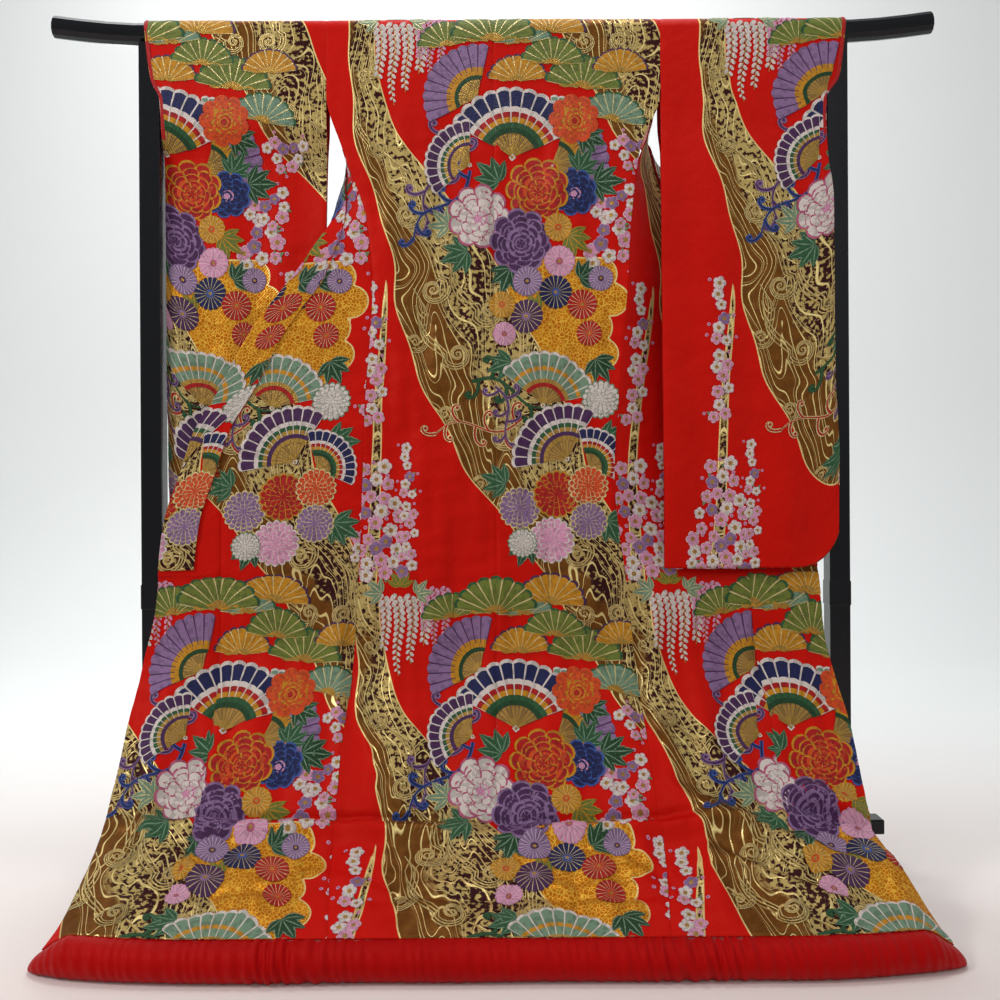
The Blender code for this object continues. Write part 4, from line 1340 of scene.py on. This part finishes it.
@dataclass
class Weaving:
    """Lays one repeat of the layout's figures over each other, as floats are woven.

    Attributes:
        cell: Size in metres of the cells in which it keeps how high the floats stand.
        half: Half of the width that it keeps.
        relief: Share of a figure's own relief that the weaving keeps.
        over: Height in metres that a thread keeps over those that it crosses.
        painted_shade_share: Share of a figure's faces, chosen at random, that take their thread's
            painted-shade copy.
    """

    figures: Figures
    layout: Layout
    ground: Ground
    cell: float = 0.002
    half: float = 0.480
    relief: float = 0.45
    over: float = 0.0002
    painted_shade_share: float = 0.35

    def cells(self, spots: np.ndarray) -> tuple[np.ndarray, np.ndarray]:
        """The cells that places on the flat brocade lie in."""
        last = round(2 * self.half / self.cell) - 1
        down = np.rint(spots[:, 1] / self.cell).astype(int) % round(self.ground.repeat / self.cell)
        return down, np.clip(np.rint((spots[:, 0] + self.half) / self.cell).astype(int), 0, last)

    def in_stream(self, motif: Motif) -> Motif:
        """The part of a figure that lies on the stream."""
        wet = [
            float(self.ground.fields(np.array([x]), length)[0][0]) > 0.002
            for x, length, _ in motif.points
        ]
        keep = np.array(wet)[motif.faces].all(axis=1)
        return Motif(motif.points, motif.faces[keep], motif.threads[keep])

    def laid(self) -> list[Motif]:
        """The figures of one repeat, each raised over those that it crosses."""
        height = np.zeros((round(self.ground.repeat / self.cell), round(2 * self.half / self.cell)))
        rng = np.random.default_rng(11)
        done = []
        for name, x, length, turn, size in self.layout.spots:
            motif = self.figures.get(name).placed(x, length, turn, size, 0.0)
            if name.startswith("eddy"):
                motif = self.in_stream(motif)
            below = np.zeros(len(motif.points))
            for across in (-self.cell, 0.0, self.cell):
                for down in (-self.cell, 0.0, self.cell):
                    near = self.cells(motif.points + np.array([across, down, 0.0]))
                    below = np.maximum(below, height[near])
            motif.points[:, 2] = below + self.relief * motif.points[:, 2]
            corners = motif.points[motif.faces]
            sides = (corners + np.roll(corners, 1, axis=1)) / 2
            middles = corners.mean(axis=1, keepdims=True)
            spots = np.concatenate([corners, sides, middles], axis=1).reshape(-1, 3)
            np.maximum.at(height, self.cells(spots), spots[:, 2] + self.over)
            # Faces chosen at random take their thread's painted-shade copy, 0.87 as bright.
            shaded = len(THREADS) * (rng.random(len(motif.faces)) < self.painted_shade_share)
            done.append(Motif(motif.points, motif.faces, motif.threads + shaded))
        return done


@dataclass(frozen=True)
class Studio:
    """A pale floor and wall, soft frontal light, and the camera at the photograph's place.

    Attributes:
        wall_y: Place of the wall.
        half: Half of the floor's width.
        eye: Place of the camera.
        yaw: Its turn to the left, in radians.
        pitch: Its tilt upwards, in radians.
        roll: Its roll, in radians.
        lens: Its focal length in millimetres.
        sensor: The width of its sensor in millimetres.
        sweep: Length of the floor, the bend and the wall together.
        floor: The floor's share of it.
        bend: Radius of the bend between them.
        paint: Their finish.
    """

    wall_y: float = 3.6
    half: float = 6.0
    eye: tuple[float, float, float] = (0.0053, -1.7522, 0.6984)
    yaw: float = -0.0015
    pitch: float = -0.0009
    roll: float = -0.0057
    lens: float = 36.0
    sensor: float = 36.0
    sweep: float = 14.0
    floor: float = 0.55
    bend: float = 1.3
    paint: StudioPaint = StudioPaint("matt_wall_emulsion", "F4F7F6", 0.9)

    def build(self) -> None:
        """Makes the studio, its lights and the camera."""
        self.build_backdrop()
        self.build_lights()
        self.build_camera()

    def build_backdrop(self) -> None:
        """A floor that sweeps up into the wall."""
        bm = bmesh.new()
        bmesh.ops.create_grid(bm, x_segments=1, y_segments=140, size=0.5)
        bend = self.bend
        flat = self.sweep * self.floor
        for vert in bm.verts:
            way = (vert.co.y + 0.5) * self.sweep
            turn = min(max((way - flat) / bend, 0.0), math.pi / 2)
            y = self.wall_y - bend - flat + min(way, flat) + bend * math.sin(turn)
            z = bend * (1 - math.cos(turn)) + max(way - flat - bend * math.pi / 2, 0.0)
            vert.co = Vector((vert.co.x * 2 * self.half, y, z - 0.0005))
        bmesh.ops.recalc_face_normals(bm, faces=bm.faces)
        mesh = smooth_mesh("studio_backdrop", bm, self.paint)
        add_object("studio_backdrop", mesh)

    def build_lights(self) -> None:
        """Soft light from the front, a key from the upper left, and a wash over the wall."""
        lights = (
            # name, place, size, watts
            ("front_soft", (0.6, -3.6, 2.2), 2.2, 18.0),
            ("left_key", (-2.4, -1.5, 2.4), 0.7, 40.0),
            ("top_soft", (0.2, -0.1, 3.0), 0.5, 13.0),
            ("right_soft", (2.8, -1.6, 2.0), 1.6, 8.0),
            ("wall_wash", (-0.4, 1.7, 4.2), 3.0, 74.0),
            ("rear_soft", (-1.2, 3.0, 2.4), 1.2, 14.0),
        )
        for name, place, size, watts in lights:
            lamp = bpy.data.lights.new(name, "AREA")
            lamp.shape = "SQUARE"
            lamp.size = size
            lamp.energy = watts
            aim = Vector((0.0, self.wall_y if name == "wall_wash" else 0.1, 0.7)) - Vector(place)
            turn = aim.to_track_quat("-Z", "Y").to_matrix().to_4x4()
            add_object(name, lamp).matrix_world = Matrix.Translation(place) @ turn
        world = bpy.data.worlds.new("studio_air")
        world.use_nodes = True
        air = world.node_tree.nodes["Background"]
        air.inputs["Color"].default_value = linear("F4F6F8")
        air.inputs["Strength"].default_value = 0.42
        bpy.context.scene.world = world

    def build_camera(self) -> None:
        """The camera, level and square on to the robe."""
        forward = Vector((-math.sin(self.yaw), math.cos(self.yaw), 0.0))
        right = Vector((math.cos(self.yaw), math.sin(self.yaw), 0.0))
        up = Vector((0.0, 0.0, 1.0))
        aim = forward * math.cos(self.pitch) + up * math.sin(self.pitch)
        top = up * math.cos(self.pitch) - forward * math.sin(self.pitch)
        across = right * math.cos(self.roll) + top * math.sin(self.roll)
        top = top * math.cos(self.roll) - right * math.sin(self.roll)
        data = bpy.data.cameras.new("camera")
        data.sensor_width = self.sensor
        data.lens = self.lens
        camera = add_object("camera", data)
        turn = Matrix((across, top, -aim)).transposed().to_4x4()
        camera.matrix_world = Matrix.Translation(self.eye) @ turn
        bpy.context.scene.camera = camera


@dataclass
class Robe:
    """The kimono: brocade panels with their lining, raised figures, and the padded hem.

    Attributes:
        cloth: How it hangs.
        ground: Where the stream and the cloud lie.
        figures: Draws the woven figures.
        layout: Where the figures lie.
        brocade: Finish of the cloth's face.
        satin: Finish of the hem roll.
        lining: Finish of the cloth's back.
        grid: Size in metres of a sheet's faces.
        side_tuck: Depth to which a side seam dips.
        seam_tuck: Depth to which the seam at the centre back or an overlap panel dips.
        seam_breadth: How far from a seam its dip reaches.
        float_height: Height of the figures' threads over the cloth, to clear its faces.
        collar_end: Length at which the collar ends on the opened fronts.
        collar_gap: Space between the collar and the front under it.
        woven: The figures of one repeat, once they are laid.
    """

    cloth: HungCloth = field(default_factory=HungCloth)
    ground: Ground = field(default_factory=Ground)
    figures: Figures = field(default_factory=Figures)
    layout: Layout = field(default_factory=Layout)
    brocade: BrocadeGround = BrocadeGround("woven_gold_brocade", "C8100B", 0.55)
    satin: SatinSilk = SatinSilk("padded_red_satin", "A50308", 0.55)
    lining: SatinSilk = SatinSilk("red_silk_lining", "B00A08", 0.50)
    grid: float = 0.0065
    side_tuck: float = 0.0008
    seam_tuck: float = 0.0019
    seam_breadth: float = 0.0034
    float_height: float = 0.0008
    collar_end: float = 1.030
    collar_gap: float = 0.0013
    woven: list[Motif] = field(default_factory=list)

    def build(self) -> None:
        """Makes every cloth of the robe."""
        self.woven = Weaving(self.figures, self.layout, self.ground).laid()
        for side in Side:
            self.add_cloth("back_" + side.word, self.back_surface(side))
            self.add_cloth(
                "front_" + side.word, self.front_surface(side)
            )
            okumi_length = self.cloth.length - self.cloth.okumi_start(side)
            self.add_cloth("okumi_" + side.word, self.okumi_surface(side))
            self.add_cloth("collar_" + side.word, self.collar_surface(side))
            self.add_cloth(
                "sleeve_" + side.word, self.sleeve_surface(side)
            )
        self.add_cloth("collar_back", self.neck_surface())
        self.add_hem_roll()

    def rows(self, start: float, end: float) -> np.ndarray:
        """Lengths of a cloth's rows, closer together over the rod."""
        bend = self.cloth.quarter + 0.004
        if start >= bend:
            return np.linspace(start, end, max(round((end - start) / self.grid), 2) + 1)
        over = np.linspace(start, bend, max(round((bend - start) / 0.0035), 2) + 1)
        rest = np.linspace(bend, end, round((end - bend) / self.grid) + 1)
        return np.concatenate([over, rest[1:]])

    def shares(self, width: float) -> np.ndarray:
        """Places of a cloth's columns from 0 to 1, closer together by its edges."""
        inner = np.linspace(0.008, width - 0.008, max(round((width - 0.016) / self.grid), 2) + 1)
        edges = [0.0, 0.0012, 0.0035]
        return np.concatenate([edges, inner, [width - e for e in reversed(edges)]]) / width

    def surface(
        self,
        side: Side,
        lengths: np.ndarray,
        shares: np.ndarray,
        row: Callable[[float], np.ndarray],
        flat_start: float,
        outward: float,
        tuck: tuple[float, float],
    ) -> Surface:
        """Makes a surface from its rows.

        Args:
            side: The side it is on.
            lengths: Lengths of its rows.
            shares: Places of its columns.
            row: Gives the middle of the cloth's wall for a length.
            flat_start: Flat x of its first column.
            outward: Sign of its outer face.
            tuck: How deep its first and last edges dip into a seam.

        Returns:
            The surface.
        """
        points = np.stack([row(float(length)) for length in lengths])
        widths = np.linalg.norm(np.diff(points, axis=1), axis=2).sum(axis=1)
        made = Surface(points, outward, lengths, shares, flat_start, float(side.value), widths)
        dip = np.zeros_like(shares)
        for depth, from_edge in zip(tuck, (shares, 1 - shares)):
            dip += depth * np.exp(-((from_edge * widths.mean() / self.seam_breadth) ** 2))
        made.points = points + made.normals() * (self.cloth.wall / 2 - dip)[None, :, None]
        return made

    def back_surface(self, side: Side) -> Surface:
        """A back panel, from the shoulder fold to the hem roll."""
        cloth = self.cloth
        shares = self.shares(0.30)

        def row(length: float) -> np.ndarray:
            outer = read_rows(cloth.side_seams, length, cloth.column(side))
            return cloth.hung(side.value * shares * outer, length)

        lengths = self.rows(cloth.seam / 2, cloth.length)
        tuck = (self.seam_tuck, self.side_tuck)
        return self.surface(side, lengths, shares, row, 0.0, -side.value, tuck)

    def front_surface(self, side: Side) -> Surface:
        """An opened front, from behind the rod to the hem roll."""
        cloth = self.cloth
        shares = self.shares(0.26)

        def row(length: float) -> np.ndarray:
            share = cloth.okumi_share(side, length)
            start = cloth.okumi_start(side)
            whole = 1 - soft_step(start - 0.16, start, length)
            return cloth.front_row(side, shares * (share + (1 - share) * whole), length)

        lengths = self.rows(cloth.seam / 2, cloth.length)
        flat_start = 0.26 if side is Side.LEFT else -0.26
        tuck = (self.side_tuck, self.seam_tuck)
        return self.surface(side, lengths, shares, row, flat_start, -side.value, tuck)

    def okumi_surface(self, side: Side) -> Surface:
        """An overlap panel, beside the front's edge below the collar."""
        cloth = self.cloth
        shares = self.shares(0.15)

        def row(length: float) -> np.ndarray:
            start = cloth.okumi_share(side, length)
            return cloth.front_row(side, start + shares * (1 - start), length)

        lengths = self.rows(cloth.okumi_start(side), cloth.length)
        return self.surface(side, lengths, shares, row, 0.0, -side.value, (self.seam_tuck, 0.0))

    def collar_surface(self, side: Side) -> Surface:
        """The collar's band on an opened front edge, a layer above the front."""
        cloth = self.cloth
        shares = self.shares(cloth.collar_width)
        lengths = self.rows(cloth.quarter, self.collar_end)
        layer = cloth.wall + self.collar_gap

        def row(length: float) -> np.ndarray:
            inner = 1 - min(cloth.collar_width / cloth.row_width(side, length), 0.42)
            across = inner + shares * (1 - inner)
            step = 0.002
            sideways = cloth.front_row(side, across + step, length)
            sideways -= cloth.front_row(side, across - step, length)
            down = cloth.front_row(side, across, length + step)
            down -= cloth.front_row(side, across, length - step)
            normal = np.cross(sideways, down)
            normal /= np.linalg.norm(normal, axis=1, keepdims=True)
            return cloth.front_row(side, across, length) - side.value * layer * normal

        flat_start = 0.20 if side is Side.LEFT else -0.10
        return self.surface(side, lengths, shares, row, flat_start, -side.value, (0.0, 0.0))

    def neck_surface(self) -> Surface:
        """The collar round the back of the neck, hung behind the rod."""
        cloth = self.cloth
        half = cloth.front_edge_left[0][1] - 2 * cloth.seam
        shares = self.shares(2 * half)
        lengths = np.linspace(0.0, 1.0, 9)

        def row(length: float) -> np.ndarray:
            top = cloth.behind_rod(0.0, cloth.quarter)
            points = np.tile(top, (len(shares), 1))
            points[:, 0] = (shares - 0.5) * 2 * half
            points[:, 1] += 0.001 + 0.012 * length
            points[:, 2] -= length * cloth.collar_width
            return points

        made = self.surface(Side.RIGHT, lengths, shares, row, -0.1, 1.0, (0.0, 0.0))
        made.lengths = 0.30 + lengths * cloth.collar_width
        return made

    def sleeve_row(self, side: Side, shares: np.ndarray, way: float) -> np.ndarray:
        """Points across a sleeve at a way round it: -1 rear bottom, 0 shoulder, 1 front bottom."""
        cloth = self.cloth
        rows = cloth.sleeve_left if side is Side.LEFT else cloth.sleeve_right
        into = shares * cloth.sleeve_width - (cloth.sleeve_width - cloth.sleeve_corner)
        rounded = np.sqrt(np.maximum(cloth.sleeve_corner**2 - np.maximum(into, 0.0) ** 2, 0.0))
        corner = cloth.sleeve_bottom + cloth.sleeve_corner
        low = np.where(into > 0, corner - rounded, cloth.sleeve_bottom)
        low = np.minimum(low, cloth.sleeve_bottom + cloth.sleeve_corner * 0.85) + 0.004
        face = 1.0 if way >= 0 else -1.0
        from_bottom = (1 - abs(way)) / 2
        arc, under = 0.11 * 0.30, 0.012
        if from_bottom > 0.5 - arc:
            angle = (0.5 - from_bottom) / arc * math.pi / 2
            height = np.full_like(shares, cloth.rod_z + cloth.over_rod * math.cos(angle))
            forward = np.full_like(shares, face * cloth.over_rod * math.sin(angle))
        else:
            part = max(from_bottom - under, 0.0) / (0.5 - arc - under)
            height = low + (cloth.rod_z - low) * part
            space = np.array([read_rows(rows, h, 4) for h in height])
            start = cloth.rod_z - cloth.mouth_length
            mouth = soft_step(start - 0.06, start + 0.02, height)
            closing = soft_step(0.86, 1.0, shares) * (1 - mouth)
            space = space + (0.0026 - space) * closing
            if from_bottom < under:
                angle = from_bottom / under * math.pi / 2
                height = low - space * math.cos(angle)
                space = space * math.sin(angle)
            forward = np.array([read_rows(rows, h, 3) for h in height]) + face * space
        inner = np.array([read_rows(rows, h, 1) for h in height]) - 2 * cloth.seam
        outer = np.array([read_rows(rows, h, 2) for h in height])
        x = side.value * (inner + shares * (outer - inner))
        return np.stack([x, cloth.rod_y - forward, height], axis=-1)

    def sleeve_surface(self, side: Side) -> Surface:
        """A long sleeve, as one sheet up its rear, over the rod and down its front."""
        shares = self.shares(0.32)
        stretches = ((0.0, 0.066, 13), (0.066, 0.975, 114), (0.975, 1.0, 9))
        half = np.unique(np.concatenate([np.linspace(*stretch) for stretch in stretches]))
        ways = np.concatenate([-half[::-1], half[1:]])

        def row(way: float) -> np.ndarray:
            points = self.sleeve_row(side, shares, way)
            height = points[:, 2]
            hang = soft_step(1.50, 1.20, height) * soft_step(0.575, 0.60, height)
            fold = 0.0022 * np.sin(points[:, 0] * 62 + height * 3.0 + 1.0)
            fold += 0.0022 * np.sin(points[:, 0] * 27 - height * 5.0)
            fold += 0.0009 * np.sin(points[:, 0] * 9 + height * 38.0)
            points[:, 1] += fold * hang
            return points

        flat_start = 0.34 * -side.value
        tuck = (self.side_tuck, 0.0)
        made = self.surface(side, ways, shares, row, flat_start, -side.value, tuck)
        run = np.linalg.norm(np.diff(made.points[:, 3], axis=0), axis=1)
        down = np.concatenate([[0.0], np.cumsum(run)])
        made.lengths = down - np.interp(0.0, ways, down)
        return made

    def add_cloth(
        self,
        node: str,
        surface: Surface,
    ) -> None:
        """Makes a sheet with its lining, and the raised figures on it.

        Args:
            node: The CAD node that it stands for.
            surface: Its outer face.
        """
        rows, columns = surface.points.shape[:2]
        bm = bmesh.new()
        bmesh.ops.create_grid(bm, x_segments=columns - 1, y_segments=rows - 1, size=0.5)
        bm.verts.ensure_lookup_table()
        i = np.array([round((v.co.y + 0.5) * (rows - 1)) for v in bm.verts])
        j = np.array([round((v.co.x + 0.5) * (columns - 1)) for v in bm.verts])
        for vert, point in zip(bm.verts, surface.points[i, j]):
            vert.co = point
        flat_x = surface.flat_x()
        layer = bm.loops.layers.uv.new("flat")
        for face in bm.faces:
            for loop in face.loops:
                k = loop.vert.index
                loop[layer].uv = (flat_x[i[k], j[k]], surface.lengths[i[k]])
        bm.faces.ensure_lookup_table()
        bm.normal_update()
        middle = bm.faces[len(bm.faces) // 2]
        wanted = surface.normals()[i[middle.verts[0].index], j[middle.verts[0].index]]
        if middle.normal.dot(Vector(wanted)) < 0:
            bmesh.ops.reverse_faces(bm, faces=bm.faces)
        mesh = smooth_mesh(node + "_brocade", bm, self.brocade, self.lining)
        fields = [self.ground.fields(flat_x[r], float(surface.lengths[r])) for r in range(rows)]
        for number, name in enumerate(FIELDS):
            grid = np.stack([row[number] for row in fields])
            attribute = mesh.attributes.new(name, "FLOAT", "POINT")
            attribute.data.foreach_set("value", grid[i, j].astype(np.float32))
        piece = add_piece(mesh, node)
        wall = piece.modifiers.new("Lining", "SOLIDIFY")
        wall.thickness = self.cloth.wall
        wall.offset = -1.0
        wall.use_even_offset = False
        wall.material_offset = 1
        wall.material_offset_rim = 1
        figures = self.add_figures(node, surface)

    def add_figures(self, node: str, surface: Surface) -> bpy.types.Object:
        """Lays the brocade's figures over a sheet.

        Args:
            node: The CAD node under the sheet.
            surface: The sheet's outer face.

        Returns:
            The figures as one piece.
        """
        placed: list[Motif] = [self.mouth_edge(surface)] if node.startswith("sleeve") else []
        whole, spare = self.ground.repeat, 0.3
        first = math.floor((surface.lengths[0] - spare) / whole)
        last = math.ceil((surface.lengths[-1] + spare) / whole)
        for repeat in range(first, last + 1):
            for motif in self.woven:
                motif = motif.placed(0.0, repeat * whole, 0.0, 1.0, self.float_height)
                on = surface.inside(motif.points[:, 0], motif.points[:, 1])
                keep = on[motif.faces].any(axis=1)
                if keep.any():
                    placed.append(Motif(motif.points, motif.faces[keep], motif.threads[keep]))
        whole = joined(placed)
        used, faces = np.unique(whole.faces, return_inverse=True)
        faces = faces.reshape(whole.faces.shape)
        flat = whole.points[used]
        points = surface.raised(flat[:, 0], flat[:, 1], flat[:, 2])
        mesh = bpy.data.meshes.new(node + "_figures")
        mesh.vertices.add(len(points))
        mesh.vertices.foreach_set("co", points.astype(np.float32).ravel())
        mesh.loops.add(faces.size)
        mesh.loops.foreach_set("vertex_index", faces.astype(np.int32).ravel())
        mesh.polygons.add(len(faces))
        mesh.polygons.foreach_set("loop_start", np.arange(0, faces.size, 4, dtype=np.int32))
        # The threads' own finishes, then their painted-shade copies.
        for shaded in (False, True):
            for thread in THREADS:
                mesh.materials.append(thread.finish(shaded).material())
        mesh.polygons.foreach_set("material_index", whole.threads.astype(np.int32))
        mesh.update(calc_edges=True)
        mesh.validate()
        self.face_outwards(mesh, surface, flat)
        mesh.shade_smooth()
        return add_piece(mesh, node)

    def mouth_edge(self, surface: Surface) -> Motif:
        """The red edge of the lining that shows round a sleeve's mouth."""
        reach = self.cloth.mouth_length + 0.02
        lengths = np.linspace(-reach, reach, 120)
        widths = np.interp(lengths, surface.lengths, surface.widths)
        edge = surface.flat_start + surface.flat_side * (widths - 0.0036)
        path = [(float(x), float(length)) for x, length in zip(edge, lengths)]
        return self.figures.ribbon(path, 0.0072, (Thread.RED, Thread.RED), 0.0022, 0.0)

    def face_outwards(self, mesh: bpy.types.Mesh, surface: Surface, flat: np.ndarray) -> None:
        """Turns the faces of the figures away from the cloth."""
        lifted = surface.raised(flat[:, 0], flat[:, 1], np.full(len(flat), 1.0))
        out = lifted - surface.raised(flat[:, 0], flat[:, 1], np.zeros(len(flat)))
        bm = bmesh.new()
        bm.from_mesh(mesh)
        bm.verts.ensure_lookup_table()
        bm.normal_update()
        turned = [f for f in bm.faces if f.normal.dot(Vector(out[f.verts[0].index])) < 0]
        bmesh.ops.reverse_faces(bm, faces=turned)
        bm.to_mesh(mesh)
        bm.free()

    def add_hem_roll(self) -> None:
        """The wadded hem: a red satin roll, gathered a little where it is stitched."""
        cloth = self.cloth
        along, around = 900, 40
        top, depth = cloth.roll_top + 0.0026, 0.066
        bm = bmesh.new()
        bmesh.ops.create_grid(bm, x_segments=along, y_segments=around, size=0.5)
        for vert in bm.verts:
            x = vert.co.x * 2 * cloth.roll_tip_x
            angle = (vert.co.y + 0.5) * math.tau
            tip = float(cloth.roll_end(np.array(x)))
            end = max(abs(x) - cloth.roll_tip_x + 0.022, 0.0) / 0.0221
            closing = math.sqrt(max(1 - end * end, 0.002))
            full = (1 - cloth.roll_taper * tip) * closing
            outer = max(abs(x) - cloth.straight, 0.0) / cloth.curved
            slant = math.sin(angle)
            gather = 0.0016 * math.sin(x * 390 + 2.2 * math.sin(x * 57) + 2.0 * slant)
            gather += 0.0012 * math.sin(x * 213 + 1.0 + 1.5 * math.sin(x * 31) - 1.5 * slant)
            pull = 0.4 + 0.9 * math.exp(-(((x + 0.31) / 0.07) ** 2))
            pull += 0.9 * math.exp(-(((x - 0.30) / 0.08) ** 2))
            front = 0.5 + 0.5 * math.cos(angle - 0.5)
            swell = 1 + gather * pull * front / (top / 2) - 0.02 * math.sin(x * 23.0)
            up = (top + 0.0018 * tip) * full * (0.47 + 0.53 * math.sin(angle) * swell)
            reach = depth / 2 * (1 - 0.35 * tip) * closing * math.cos(angle) * swell
            y = cloth.rod_y - (cloth.roll_forward - 0.034 * outer**2) - reach
            vert.co = Vector((x, y, max(up, 0.0002)))
        bmesh.ops.remove_doubles(bm, verts=bm.verts, dist=0.00001)
        bmesh.ops.holes_fill(bm, edges=bm.edges, sides=around)
        bmesh.ops.recalc_face_normals(bm, faces=bm.faces)
        piece = add_piece(smooth_mesh("hem_roll_satin", bm, self.satin), "hem_roll")


@dataclass(frozen=True)
class Stand:
    """The lacquered stand, whose CAD shapes are kept."""

    nodes: tuple[str, ...] = (
        "rod_top",
        "upright_left",
        "upright_right",
        "rail_lower",
        "foot_left",
        "foot_right",
    )
    lacquer: BlackLacquer = BlackLacquer("polished_black_lacquer", "04050B", 0.2)

    def dress(self, nodes: dict[str, bpy.types.Object]) -> None:
        """Puts the lacquer on the stand's CAD nodes."""
        for name in self.nodes:
            for slot in nodes[name].material_slots:
                slot.material = self.lacquer.material()
            LOG.info("%s: lacquered", name)


def main() -> None:
    """Builds the looks on the frame."""
    logging.basicConfig(level=logging.INFO, format="%(message)s")
    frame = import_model()
    bpy.context.scene.view_settings.view_transform = "Standard"
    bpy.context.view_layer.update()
    Studio().build()
    Stand().dress(frame["nodes"])
    Robe().build()


if __name__ == "__main__":
    main()
